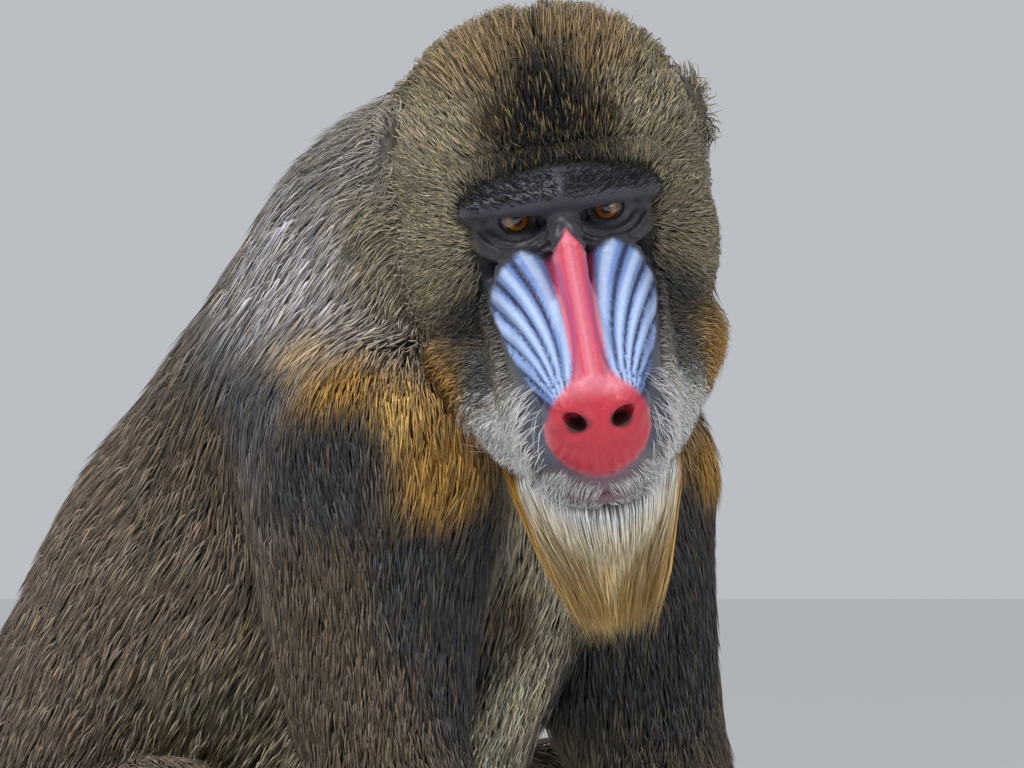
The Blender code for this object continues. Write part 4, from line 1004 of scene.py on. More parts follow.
class Skin:
    """The finished skin as arrays, with a tree for the nearest place on it."""

    def __init__(self, obj):
        mesh = obj.data
        self.points = points_of(mesh)
        flat = np.empty(len(mesh.polygons) * 3, dtype=np.int64)
        mesh.loops.foreach_get("vertex_index", flat)
        self.faces = flat.reshape(-1, 3)
        self.corners = self.points[self.faces]
        cross = np.cross(self.corners[:, 1] - self.corners[:, 0], self.corners[:, 2] - self.corners[:, 0])
        size = np.linalg.norm(cross, axis=1)
        self.areas = size / 2
        normals = np.empty(len(mesh.vertices) * 3)
        mesh.vertex_normals.foreach_get("vector", normals)
        normals = normals.reshape(-1, 3)[self.faces].sum(axis=1)
        self.normals = normals / (np.linalg.norm(normals, axis=1)[:, None] + 1e-12)
        self.coat = Coat(self.corners.mean(axis=1))
        self.tree = BVHTree.FromPolygons(self.points.tolist(), self.faces.tolist())

    def over(self, spots, heights):
        """Places at these heights over the parts of the skin that are nearest to the spots."""
        found = np.empty_like(spots)
        for row, (spot, height) in enumerate(zip(spots.tolist(), heights.tolist())):
            foot, normal = self.tree.find_nearest(spot)[:2]
            found[row] = foot + normal * height
        return found


SKINS = {}


def unit(rows):
    return rows / (np.linalg.norm(rows, axis=1)[:, None] + 1e-12)


def grow(name, skin, where, density, width, rings, seed, **more):
    """Grows tufts on the triangles picked by where, and returns their arrays for mesh_tufts.

    more may give length and stand as factors, the lie, one paint, the frizz, how far the tips clump and
    how many gather, the paint of the tips, the share of speckled tufts, and the region to unroll round.
    Tufts that aren't haired grow on bare skin too.
    """
    draw = np.random.default_rng(seed)
    thin = 1.0
    keep = np.clip(1 - skin.coat.bare, 0, 1) if more.get("haired", True) else 1.0
    roots, picked = sample(skin.corners, skin.areas, density * 1e4 * where * keep * thin, draw)
    count = len(roots)
    normals = skin.normals[picked]
    coat = skin.coat
    lie = coat.lie[picked] if more.get("lie") is None else more["lie"][picked]
    lie = unit(lie)
    lie = unit(lie - normals * np.sum(lie * normals, axis=1)[:, None])
    side = np.cross(normals, lie)
    frizz = more.get("frizz", 0.17)
    lie = unit(lie + side * draw.normal(0, frizz, count)[:, None])
    lengths = coat.length[picked] * more.get("length", 1.0) * draw.uniform(0.70, 1.15, count)
    stands = coat.stand[picked] * more.get("stand", 1.0) * draw.uniform(0.45, 1.25, count)
    tips = skin.over(roots + lie * lengths[:, None], stands)
    tips = clumped(roots, tips, more.get("clump", 0.45), more.get("gather", 14), draw)
    bend = roots + normals * (stands * 0.9)[:, None] + (tips - roots) * 0.38
    colour = coat.colour[picked] if more.get("paint") is None else np.tile(linear(more["paint"]), (count, 1))
    shade = draw.normal(1.0, 0.16, count).clip(0.55, 1.5)
    warm = draw.normal(0, 0.05, count)[:, None] * np.array([1.0, 0.1, -1.2])
    colour = np.clip(colour * HAIR_GAIN * shade[:, None] * (1 + warm), 0, 0.95)
    widths = width * draw.uniform(0.7, 1.25, count)
    return {
        "name": name,
        "roots": roots,
        "bend": bend,
        "tips": tips,
        "normals": normals,
        "widths": widths,
        "colour": colour,
        "seed": draw.random(count),
        "rings": rings,
        "roll": draw.normal(0, 0.35, count),
        "tip_paint": more.get("tip_paint"),
        "speckle": more.get("speckle", 0),
        "region": more.get("region", 0),
    }


def clumped(roots, tips, pull, gather, draw):
    """Draws the tips of neighbours together, as long hair does."""
    count = len(roots)
    leaders = draw.choice(count, max(1, count // gather), replace=False)
    tree = KDTree(len(leaders))
    for index, row in enumerate(roots[leaders].tolist()):
        tree.insert(row, index)
    tree.balance()
    owner = leaders[[tree.find(row)[1] for row in roots.tolist()]]
    reach = tips[owner] - roots[owner]
    goal = roots * 0.25 + roots[owner] * 0.75 + reach
    share = (pull * draw.uniform(0.5, 1.2, count))[:, None]
    return tips + (goal - tips) * share


def mesh_tufts(made, limit=190000):
    """Makes the closed tapered tufts, in as many pieces as keep each under the limit of triangles."""
    rings = made["rings"]
    each = 6 + 6 * (rings - 1)
    order = np.argsort(made["roots"][:, 2], kind="stable")
    parts = max(1, math.ceil(len(order) * each / limit))
    pieces = []
    for number, rows in enumerate(np.array_split(order, parts)):
        label = made["name"] if parts == 1 else f"{made['name']}_{number + 1}"
        pieces.append(tuft_piece(label, made, rows))
    return pieces


def tuft_piece(label, made, rows):
    rings = made["rings"]
    roots, bend, tips = made["roots"][rows], made["bend"][rows], made["tips"][rows]
    normals, widths, roll = made["normals"][rows], made["widths"][rows], made["roll"][rows]
    count = len(rows)
    stages = [0.42] if rings == 1 else [0.30, 0.68]
    shares = [1.0] if rings == 1 else [1.0, 0.72]
    size = 2 + 3 * rings
    verts = np.empty((count, size, 3))
    along = np.empty((count, size))
    across = np.zeros((count, size))
    verts[:, 0] = roots - normals * 0.0012
    along[:, 0] = 0
    for ring, (stage, share) in enumerate(zip(stages, shares)):
        middle = roots * (1 - stage) ** 2 + bend * 2 * stage * (1 - stage) + tips * stage**2
        way = unit((bend - roots) * (1 - stage) + (tips - bend) * stage)
        wide = unit(np.cross(way, normals) + 1e-9)
        over = np.cross(wide, way)
        wide, over = wide + over * roll[:, None], over - wide * roll[:, None]
        half = (widths * share / 2)[:, None]
        base = 1 + 3 * ring
        verts[:, base] = middle - wide * half
        verts[:, base + 1] = middle + wide * half
        verts[:, base + 2] = middle + over * half * 0.75
        across[:, base], across[:, base + 1], across[:, base + 2] = -share, share, 0
        along[:, base:base + 3] = stage
    verts[:, -1] = tips
    along[:, -1] = 1
    verts[:, :, 2] = np.maximum(verts[:, :, 2], 0.0006)
    faces = tuft_faces(rings, size)
    index = (np.arange(count)[:, None, None] * size + faces[None]).reshape(-1)
    mesh = bpy.data.meshes.new(label)
    mesh.vertices.add(count * size)
    mesh.vertices.foreach_set("co", verts.astype(np.float32).ravel())
    mesh.loops.add(len(index))
    mesh.loops.foreach_set("vertex_index", index.astype(np.int32))
    mesh.polygons.add(len(index) // 3)
    mesh.polygons.foreach_set("loop_start", np.arange(0, len(index), 3, dtype=np.int32))
    mesh.update(calc_edges=True)
    mesh.shade_smooth()
    # Roots darker and tips lighter: partly the darker undercoat, partly painted shade of the coat over the
    # roots.
    shade = 0.62 + 0.46 * along
    colour = made["colour"][rows][:, None, :] * shade[:, :, None]
    if made["speckle"]:
        pale = (made["seed"][rows] < made["speckle"])[:, None] * ease(0.30, 0.85, along)
        dark = (made["seed"][rows] > 1 - made["speckle"])[:, None] * ease(0.20, 0.60, along)
        colour = colour * (1 - 0.55 * dark[:, :, None])
        colour = colour * (1 - 0.55 * pale[:, :, None]) + linear(PAINT["straw"]) * 0.55 * pale[:, :, None]
    if made["tip_paint"] is not None:
        share = (ease(0.35, 1.0, along) * 0.8)[:, :, None]
        colour = colour * (1 - share) + linear(made["tip_paint"]) * share
    store(mesh, "tint", "FLOAT_COLOR", "POINT", with_alpha(np.clip(colour, 0, 1).reshape(-1, 3)))
    seeds = np.repeat(made["seed"][rows], size)
    store(mesh, "strand", "FLOAT_VECTOR", "POINT", np.stack([along.ravel(), across.ravel(), seeds], axis=1))
    corner = np.tile(faces.ravel(), count)
    centre = np.repeat(unrolled(roots, made["region"]), faces.size, axis=0)
    offset = np.stack([np.tile(across[0], (count, 1)).ravel(), np.tile(along[0], (count, 1)).ravel()], axis=1)
    offset = offset.reshape(count, size, 2)[np.repeat(np.arange(count), faces.size), corner]
    offset = (offset - (0, 0.5)) * (0.0014, 0.0028)
    uv = mesh.uv_layers.new(name="OFBake")
    uv.data.foreach_set("uv", np.clip(centre + offset, 0, 1).astype(np.float32).ravel())
    obj = bpy.data.objects.new(label, mesh)
    bpy.context.scene.collection.objects.link(obj)
    return obj


def tuft_faces(rings, size):
    """Triangles of one tuft: a fan at its root, bands between its rings and a fan at its tip."""
    faces = []
    for k in range(3):
        after = (k + 1) % 3
        faces.append((0, 1 + k, 1 + after))
        for ring in range(rings - 1):
            low, high = 1 + 3 * ring, 4 + 3 * ring
            faces.append((low + k, high + k, high + after))
            faces.append((low + k, high + after, low + after))
        last = 1 + 3 * (rings - 1)
        faces.append((size - 1, last + after, last + k))
    return np.array(faces)


# Materials


def node_in(tree, kind, place=(0, 0), **values):
    node = tree.nodes.new(kind)
    node.location = place
    for name, value in values.items():
        setattr(node, name, value)
    return node


def group_named(name, inputs, outputs):
    """An empty node group with these sockets, and its ends."""
    tree = bpy.data.node_groups.new(name, "ShaderNodeTree")
    for label, kind, default in inputs:
        socket = tree.interface.new_socket(label, in_out="INPUT", socket_type=kind)
        if default is not None:
            socket.default_value = default
    for label, kind in outputs:
        tree.interface.new_socket(label, in_out="OUTPUT", socket_type=kind)
    return tree, node_in(tree, "NodeGroupInput", (-900, 0)), node_in(tree, "NodeGroupOutput", (600, 0))


def strand_group():
    """Fine hairs on a tuft: streaks that run along it and bands across it, by its strand attribute."""
    name = "fine hairs"
    if name in bpy.data.node_groups:
        return bpy.data.node_groups[name]
    inputs = (("Colour", "NodeSocketColor", (0.5, 0.5, 0.5, 1)), ("Bands", "NodeSocketFloat", 0.4),
              ("Streaks", "NodeSocketFloat", 0.5))
    outputs = (("Colour", "NodeSocketColor"), ("Height", "NodeSocketFloat"))
    tree, source, result = group_named(name, inputs, outputs)
    links = tree.links
    strand = node_in(tree, "ShaderNodeAttribute", (-1100, -200), attribute_name="strand")
    parts = node_in(tree, "ShaderNodeSeparateXYZ", (-900, -200))
    links.new(strand.outputs["Vector"], parts.inputs[0])
    spread = node_in(tree, "ShaderNodeMath", (-700, -100), operation="MULTIPLY")
    spread.inputs[1].default_value = 2.4
    links.new(parts.outputs["Y"], spread.inputs[0])
    apart = node_in(tree, "ShaderNodeMath", (-700, -300), operation="MULTIPLY")
    apart.inputs[1].default_value = 91.0
    links.new(parts.outputs["Z"], apart.inputs[0])
    shift = node_in(tree, "ShaderNodeMath", (-500, -150), operation="ADD")
    links.new(spread.outputs[0], shift.inputs[0])
    links.new(apart.outputs[0], shift.inputs[1])
    streak_place = node_in(tree, "ShaderNodeCombineXYZ", (-300, -150))
    links.new(shift.outputs[0], streak_place.inputs["X"])
    links.new(parts.outputs["X"], streak_place.inputs["Y"])
    streak = node_in(tree, "ShaderNodeTexNoise", (-120, -150))
    streak.inputs["Scale"].default_value = 1.6
    streak.inputs["Detail"].default_value = 1.0
    links.new(streak_place.outputs[0], streak.inputs["Vector"])
    run = node_in(tree, "ShaderNodeMath", (-500, -450), operation="MULTIPLY")
    run.inputs[1].default_value = 3.2
    links.new(parts.outputs["X"], run.inputs[0])
    band_place = node_in(tree, "ShaderNodeCombineXYZ", (-300, -450))
    links.new(run.outputs[0], band_place.inputs["X"])
    links.new(apart.outputs[0], band_place.inputs["Y"])
    band = node_in(tree, "ShaderNodeTexNoise", (-120, -450))
    band.inputs["Scale"].default_value = 1.3
    band.inputs["Detail"].default_value = 0.0
    links.new(band_place.outputs[0], band.inputs["Vector"])
    shades = []
    for texture, amount, place in ((streak, "Streaks", -150), (band, "Bands", -450)):
        swing = node_in(tree, "ShaderNodeMapRange", (60, place))
        swing.inputs["From Min"].default_value = 0.32
        swing.inputs["From Max"].default_value = 0.68
        swing.inputs["To Min"].default_value = -1.0
        swing.inputs["To Max"].default_value = 1.0
        links.new(texture.outputs["Fac"], swing.inputs["Value"])
        scaled = node_in(tree, "ShaderNodeMath", (240, place), operation="MULTIPLY_ADD")
        scaled.inputs[2].default_value = 1.0
        links.new(swing.outputs[0], scaled.inputs[0])
        links.new(source.outputs[amount], scaled.inputs[1])
        shades.append(scaled)
    both = node_in(tree, "ShaderNodeMath", (380, -250), operation="MULTIPLY")
    links.new(shades[0].outputs[0], both.inputs[0])
    links.new(shades[1].outputs[0], both.inputs[1])
    tinted = node_in(tree, "ShaderNodeVectorMath", (380, 0), operation="SCALE")
    links.new(source.outputs["Colour"], tinted.inputs[0])
    links.new(both.outputs[0], tinted.inputs["Scale"])
    links.new(tinted.outputs[0], result.inputs["Colour"])
    links.new(streak.outputs["Fac"], result.inputs["Height"])
    return tree


def shader_of(material):
    material.use_nodes = True
    return material.node_tree.nodes["Principled BSDF"]


def hair_material(name, roughness, bands, streaks, gloss):
    material = bpy.data.materials.new(name)
    shader = shader_of(material)
    tree = material.node_tree
    tint = node_in(tree, "ShaderNodeAttribute", (-700, 200), attribute_name="tint")
    fine = node_in(tree, "ShaderNodeGroup", (-450, 100), node_tree=strand_group())
    fine.inputs["Bands"].default_value = bands
    fine.inputs["Streaks"].default_value = streaks
    tree.links.new(tint.outputs["Color"], fine.inputs["Colour"])
    tree.links.new(fine.outputs["Colour"], shader.inputs["Base Color"])
    bump = node_in(tree, "ShaderNodeBump", (-220, -200))
    bump.inputs["Strength"].default_value = 0.5
    bump.inputs["Distance"].default_value = 0.0004
    tree.links.new(fine.outputs["Height"], bump.inputs["Height"])
    tree.links.new(bump.outputs["Normal"], shader.inputs["Normal"])
    shader.inputs["Roughness"].default_value = roughness
    shader.inputs["Specular IOR Level"].default_value = gloss
    return material


def skin_material():
    """Bare and furred skin in one: pores and creases, with gloss where it is bare."""
    material = bpy.data.materials.new("skin")
    shader = shader_of(material)
    tree = material.node_tree
    links = tree.links
    tint = node_in(tree, "ShaderNodeAttribute", (-900, 300), attribute_name="tint")
    glossy = node_in(tree, "ShaderNodeAttribute", (-900, 0), attribute_name="gloss")
    place = node_in(tree, "ShaderNodeTexCoord", (-1100, -300))
    mottle = node_in(tree, "ShaderNodeTexNoise", (-700, 200))
    mottle.inputs["Scale"].default_value = 420.0
    mottle.inputs["Detail"].default_value = 3.0
    links.new(place.outputs["Object"], mottle.inputs["Vector"])
    shade = node_in(tree, "ShaderNodeMapRange", (-500, 200))
    shade.inputs["From Min"].default_value = 0.30
    shade.inputs["From Max"].default_value = 0.70
    shade.inputs["To Min"].default_value = 0.92
    shade.inputs["To Max"].default_value = 1.08
    links.new(mottle.outputs["Fac"], shade.inputs["Value"])
    painted = node_in(tree, "ShaderNodeVectorMath", (-300, 300), operation="SCALE")
    links.new(tint.outputs["Color"], painted.inputs[0])
    links.new(shade.outputs[0], painted.inputs["Scale"])
    links.new(painted.outputs[0], shader.inputs["Base Color"])
    pores = node_in(tree, "ShaderNodeTexVoronoi", (-700, -250))
    pores.inputs["Scale"].default_value = 900.0
    links.new(place.outputs["Object"], pores.inputs["Vector"])
    creases = node_in(tree, "ShaderNodeTexNoise", (-700, -500))
    creases.inputs["Scale"].default_value = 260.0
    creases.inputs["Detail"].default_value = 4.0
    links.new(place.outputs["Object"], creases.inputs["Vector"])
    height = node_in(tree, "ShaderNodeMath", (-450, -350), operation="MULTIPLY_ADD")
    height.inputs[1].default_value = 0.5
    links.new(pores.outputs["Distance"], height.inputs[0])
    links.new(creases.outputs["Fac"], height.inputs[2])
    bump = node_in(tree, "ShaderNodeBump", (-220, -300))
    bump.inputs["Strength"].default_value = 0.35
    bump.inputs["Distance"].default_value = 0.0007
    links.new(height.outputs[0], bump.inputs["Height"])
    links.new(bump.outputs["Normal"], shader.inputs["Normal"])
    gloss = node_in(tree, "ShaderNodeMapRange", (-450, -50))
    gloss.inputs["To Min"].default_value = 0.80
    gloss.inputs["To Max"].default_value = 0.46
    links.new(glossy.outputs["Fac"], gloss.inputs["Value"])
    links.new(gloss.outputs[0], shader.inputs["Roughness"])
    shader.inputs["Specular IOR Level"].default_value = 0.5
    shader.inputs["Sheen Weight"].default_value = 0.1
    return material


def eye_material(colours):
    """Amber iris with fine spokes, a dark rim and pupil, under a wet gloss."""
    material = bpy.data.materials.new("eye")
    shader = shader_of(material)
    tree = material.node_tree
    links = tree.links
    iris = node_in(tree, "ShaderNodeAttribute", (-1100, 0), attribute_name="iris")
    parts = node_in(tree, "ShaderNodeSeparateXYZ", (-900, 0))
    links.new(iris.outputs["Vector"], parts.inputs[0])
    spokes = node_in(tree, "ShaderNodeTexNoise", (-700, -200))
    spokes.inputs["Scale"].default_value = 9.0
    spokes.inputs["Detail"].default_value = 3.0
    flat = node_in(tree, "ShaderNodeCombineXYZ", (-850, -250))
    links.new(parts.outputs["Y"], flat.inputs["X"])
    links.new(parts.outputs["Z"], flat.inputs["Y"])
    links.new(flat.outputs[0], spokes.inputs["Vector"])
    ramp = node_in(tree, "ShaderNodeValToRGB", (-650, 100))
    pupil = (0.004, 0.003, 0.003)
    stops = (
        (0.0, pupil),
        (0.205, pupil),
        (0.235, linear(colours.iris_inner)),
        (0.42, linear(colours.iris)),
        (0.52, linear(colours.iris) * 0.35),
        (0.57, (0.012, 0.007, 0.005)),
        (0.64, (0.10, 0.07, 0.05)),
        (1.0, (0.16, 0.12, 0.09)),
    )
    elements = ramp.color_ramp.elements
    while len(elements) < len(stops):
        elements.new(0.5)
    for element, (place, colour) in zip(elements, stops):
        element.position = place
        element.color = (*colour, 1)
    links.new(parts.outputs["X"], ramp.inputs["Fac"])
    shade = node_in(tree, "ShaderNodeMapRange", (-500, -200))
    shade.inputs["From Min"].default_value = 0.3
    shade.inputs["From Max"].default_value = 0.7
    shade.inputs["To Min"].default_value = 0.55
    shade.inputs["To Max"].default_value = 1.35
    links.new(spokes.outputs["Fac"], shade.inputs["Value"])
    streaked = node_in(tree, "ShaderNodeVectorMath", (-300, 100), operation="SCALE")
    links.new(ramp.outputs["Color"], streaked.inputs[0])
    links.new(shade.outputs[0], streaked.inputs["Scale"])
    links.new(streaked.outputs[0], shader.inputs["Base Color"])
    shader.inputs["Roughness"].default_value = 0.25
    shader.inputs["Coat Weight"].default_value = 1.0
    shader.inputs["Coat Roughness"].default_value = 0.02
    return material


def nail_material():
    material = bpy.data.materials.new("nail")
    shader = shader_of(material)
    tree = material.node_tree
    place = node_in(tree, "ShaderNodeTexCoord", (-900, 0))
    grain = node_in(tree, "ShaderNodeTexNoise", (-700, 0))
    grain.inputs["Scale"].default_value = 320.0
    grain.inputs["Detail"].default_value = 2.0
    tree.links.new(place.outputs["Object"], grain.inputs["Vector"])
    ramp = node_in(tree, "ShaderNodeValToRGB", (-450, 0))
    ramp.color_ramp.elements[0].color = (0.012, 0.010, 0.009, 1)
    ramp.color_ramp.elements[1].color = (0.060, 0.048, 0.040, 1)
    tree.links.new(grain.outputs["Fac"], ramp.inputs["Fac"])
    tree.links.new(ramp.outputs["Color"], shader.inputs["Base Color"])
    shader.inputs["Roughness"].default_value = 0.32
    return material


def stage_material(name, colour):
    material = bpy.data.materials.new(name)
    shader = shader_of(material)
    shader.inputs["Base Color"].default_value = (*linear(colour), 1)
    shader.inputs["Roughness"].default_value = 0.9
    return material


def dress(obj, material, nodes):
    """Gives a piece its finish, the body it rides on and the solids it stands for."""
    obj.data.materials.clear()
    obj.data.materials.append(material)
    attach(obj, BODY)
    if nodes:
        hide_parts(*nodes)


# Settings


def colour_setting(name, description, default):
    return FloatVectorProperty(name=name, description=description, default=default, subtype="COLOR_GAMMA",
                               size=3, min=0, max=1)


class MandrillColours(PropertyGroup):
    """Colours of the bare skin and the eyes, as seen."""

    panel: colour_setting("Panel", "Ridges of the cheeks' blue panels", (0.54, 0.65, 0.85))
    # Painted highlight of the ridges' crests, as where the light catches them
    panel_highlight: colour_setting("Panel crests", "Tops of the ridges near the nose", (0.80, 0.86, 0.95))
    panel_edge: colour_setting("Panel edge", "Outer and lower ends of the ridges", (0.36, 0.47, 0.70))
    # Dark navy of the grooves: partly their own skin, partly painted shade in the creases
    groove_skin_and_shade: colour_setting("Grooves", "Between the ridges", (0.09, 0.09, 0.26))
    rim: colour_setting("Rim", "Fold between a panel and the stripe", (0.66, 0.20, 0.42))
    nose: colour_setting("Stripe", "Middle of the nose", (0.76, 0.17, 0.28))
    # Painted highlight of the stripe's raised folds, also laid on the top of the nose pad
    stripe_highlight: colour_setting("Stripe lights", "Raised parts of the stripe", (0.91, 0.57, 0.63))
    pad: colour_setting("Nose pad", "Round the nostrils", (0.73, 0.15, 0.23))
    lip: colour_setting("Upper lip", "Under the nose pad", (0.42, 0.33, 0.38))
    # The mouth colour also lays the painted shade in and round the nostrils
    mouth: colour_setting("Mouth", "Line of the mouth and inside the nostrils", (0.30, 0.06, 0.08))
    muzzle: colour_setting("Muzzle sides", "Skin under the whiskers", (0.27, 0.29, 0.35))
    dark_skin: colour_setting("Dark skin", "Round the eyes and the cheeks' edge", (0.16, 0.16, 0.19))
    # Dark skin of the brow with a painted bluish sheen
    brow: colour_setting("Brow", "Bar over the eyes", (0.19, 0.19, 0.25))
    lid: colour_setting("Lids", "Rims and folds of the eyes", (0.18, 0.18, 0.23))
    ear: colour_setting("Ears", "Bare cup of the ears", (0.34, 0.30, 0.27))
    paw: colour_setting("Hands and feet", "Palms, soles and digits", (0.13, 0.12, 0.12))
    seat: colour_setting("Seat pads", "Horny pads of the seat", (0.72, 0.44, 0.48))
    rump: colour_setting("Rump", "Bare skin round the pads", (0.50, 0.47, 0.60))
    iris: colour_setting("Iris", "Outer part of the iris", (0.60, 0.37, 0.14))
    iris_inner: colour_setting("Iris middle", "Part of the iris by the pupil", (0.42, 0.24, 0.09))


class MandrillCoat(PropertyGroup):
    """How long, wide and full the coat is."""

    fullness: FloatProperty(name="Fullness", description="Share of the tufts that are grown", default=0.96,
                            min=0.1, max=1.2, subtype="FACTOR")
    length: FloatProperty(name="Length", description="Length of the coat against the natural one",
                          default=1.0, min=0.5, max=1.2, subtype="FACTOR")
    tuft_width: FloatProperty(name="Tuft width", description="Width of a tuft of the body", default=0.0014,
                              min=0.0004, max=0.004, unit="LENGTH", precision=4)
    whisker_length: FloatProperty(name="Whiskers", description="Length of the white whiskers", default=0.024,
                                  min=0.005, max=0.04, unit="LENGTH", precision=3)
    beard_drop: FloatProperty(name="Beard", description="Drop of the beard's point under the eye line",
                              default=0.262, min=0.20, max=0.27, unit="LENGTH", precision=3)
    seed: IntProperty(name="Seed", description="Changes which way each tuft falls", default=11, min=1)


class MandrillStage(PropertyGroup):
    """Light, floor and camera."""

    key_power: FloatProperty(name="Key light", description="Power of the large light from the upper left",
                             default=52.0, min=0, unit="POWER")
    fill_power: FloatProperty(name="Fill light", description="Power of the light from the right",
                              default=12.0, min=0, unit="POWER")
    sky: FloatProperty(name="Surroundings", description="Brightness of the pale surroundings", default=0.55,
                       min=0, max=2)
    distance: FloatProperty(name="Camera distance", description="From the camera to the model",
                            default=5.0, min=1, unit="LENGTH")


FLESH = sorted(name for name in frame["nodes"] if not name.startswith("eye_"))
EYE_NODES = sorted(name for name in frame["nodes"] if name.startswith("eye_"))

# Tufts of the body: to a square centimetre, width against the set one, rings
BODY_TUFTS = {
    "neck": (27, 0.80, 2),
    "trunk": (12.2, 1.15, 1),
    "upper_arm": (22, 0.88, 1),
    "forearm": (21, 0.85, 1),
    "thigh": (11.5, 1.15, 1),
    "shank": (18, 0.95, 1),
    "tail": (26, 0.85, 1),
    "hand": (24, 0.55, 1),
    "foot": (20, 0.55, 1),
    "seat": (12, 1.00, 1),
}


def skin_arrays():
    """The finished skin, read once."""
    if "skin" not in SKINS:
        if "mandrill_skin" not in bpy.data.objects:
            raise RuntimeError("the coat needs the skin: make the skin first")
        SKINS["skin"] = Skin(bpy.data.objects["mandrill_skin"])
    return SKINS["skin"]


def hair(kind):
    """The finish of one kind of hair, made once."""
    kinds = {
        "coat": (0.62, 0.32, 0.32, 0.35),
        "crest": (0.58, 0.35, 0.35, 0.35),
        "beard": (0.50, 0.15, 0.40, 0.45),
        "down": (0.60, 0.10, 0.20, 0.30),
    }
    name = f"{kind} hair"
    if name in bpy.data.materials:
        return bpy.data.materials[name]
    roughness, bands, streaks, gloss = kinds[kind]
    return hair_material(name, roughness, bands, streaks, gloss)


def set_tufts(made, kind):
    for piece in mesh_tufts(made):
        dress(piece, hair(kind), ())


def part_of(region):
    return REGIONS[region].replace("_left", "").replace("_right", "")


# Operators


class MANDRILL_OT_skin(Operator):
    """Make the one skin of the body, face, ears, hands and feet"""

    bl_idname = "mandrill.skin"
    bl_label = "Skin"

    def execute(self, context):
        skin = whole_skin()
        mesh = skin.data
        mesh.shade_smooth()
        coat = Coat(points_of(mesh))
        tint = skin_tint(coat, context.scene.mandrill_colours)
        store(mesh, "tint", "FLOAT_COLOR", "POINT", with_alpha(np.clip(tint, 0, 1)))
        store(mesh, "gloss", "FLOAT", "POINT", np.clip(coat.bare - 0.5 * coat.paw, 0, 1))
        dress(skin, skin_material(), FLESH)
        SKINS["skin"] = Skin(skin)
        return {"FINISHED"}


class MANDRILL_OT_eyes(Operator):
    """Make the two eyes with their irises"""

    bl_idname = "mandrill.eyes"
    bl_label = "Eyes"

    def execute(self, context):
        bm = bmesh.new()
        rise = math.radians(6)
        gaze = Vector((0, -math.cos(rise), math.sin(rise)))
        look = gaze.to_track_quat("Z", "Y").to_matrix().to_4x4()
        for side in SIDES.values():
            place = Matrix.Translation(at_head(EYE_SPACING / 2 * side, EYE_AHEAD, 0)) @ look
            matrix = place @ Matrix.Scale(EYE_RADIUS, 4)
            bmesh.ops.create_uvsphere(bm, u_segments=64, v_segments=64, radius=1.0, matrix=matrix)
        eyes = object_from(bm, "eyes")
        local = points_of(eyes.data)
        centre = np.stack([np.sign(local[:, 0]) * EYE_SPACING / 2, np.full(len(local), -EYE_AHEAD),
                           np.zeros(len(local))], axis=1)
        ray = unit(local - centre)
        away = np.degrees(np.arccos(np.clip(ray @ np.array(gaze), -1, 1)))
        around = np.array(look.to_3x3())
        spoke = unit(ray @ around)
        iris = np.stack([away / 64, spoke[:, 0], spoke[:, 1]], axis=1)
        store(eyes.data, "iris", "FLOAT_VECTOR", "POINT", iris)
        cornea = 0.0009 * (1 - ease(0, 34, away))
        eyes.data.vertices.foreach_set("co", (local + ray * cornea[:, None]).ravel())
        eyes.data.transform(HEAD_STANDS)
        eyes.data.shade_smooth()
        dress(eyes, eye_material(context.scene.mandrill_colours), EYE_NODES)
        return {"FINISHED"}


class MANDRILL_OT_nails(Operator):
    """Make the flat nails of the fingers and toes"""

    bl_idname = "mandrill.nails"
    bl_label = "Nails"

    def execute(self, context):
        bm = bmesh.new()
        for side in SIDES.values():
            tips = []
            for step, length in FINGERS:
                tips.append((WRIST, Vector((step * 1.3, -0.070 - length, -0.0562)), 0.0064))
            tips.append((WRIST, Vector((-0.039, -0.080, -0.0562)), 0.0062))
            for step, length in TOES:
                tips.append((ANKLE, Vector((step * 1.25, -0.102 - length, -0.0482)), 0.0060))
            tips.append((ANKLE, Vector((-0.038, -0.118, -0.0457)), 0.0078))
            for joint, step, length in tips:
                spot = on_side(joint + step, side) + STAND_AT
                self.nail(bm, spot, length)
        nails = object_from(bm, "nails")
        nails.data.shade_smooth()
        dress(nails, nail_material(), ())
        return {"FINISHED"}

    def nail(self, bm, tip, length):
        """A plate curved from side to side and a little from root to end, from a flattened ball."""
        lean = Matrix.Rotation(math.radians(16), 4, "X")
        place = Matrix.Translation(tip + Vector((0, -0.0016, 0.0050))) @ lean
        matrix = place @ Matrix.Diagonal((0.0050, length, 0.0026, 1))
        bmesh.ops.create_uvsphere(bm, u_segments=20, v_segments=12, radius=1.0, matrix=matrix)


class MANDRILL_OT_body_coat(Operator):
    """Grow the coat of the neck, trunk, limbs and tail"""

    bl_idname = "mandrill.body_coat"
    bl_label = "Body coat"

    def execute(self, context):
        skin = skin_arrays()
        coat = context.scene.mandrill_coat
        for index, region in enumerate(REGIONS):
            if index == 0:
                continue
            part = part_of(index)
            density, width, rings = BODY_TUFTS[part]
            where = (skin.coat.region == index).astype(float)
            density *= coat.fullness
            width *= coat.tuft_width
            made = grow(f"coat_{region}", skin, where, density, width, rings, coat.seed + index,
                        length=coat.length, region=index, speckle=0.10)
            if len(made["roots"]):
                set_tufts(made, "coat")
        return {"FINISHED"}


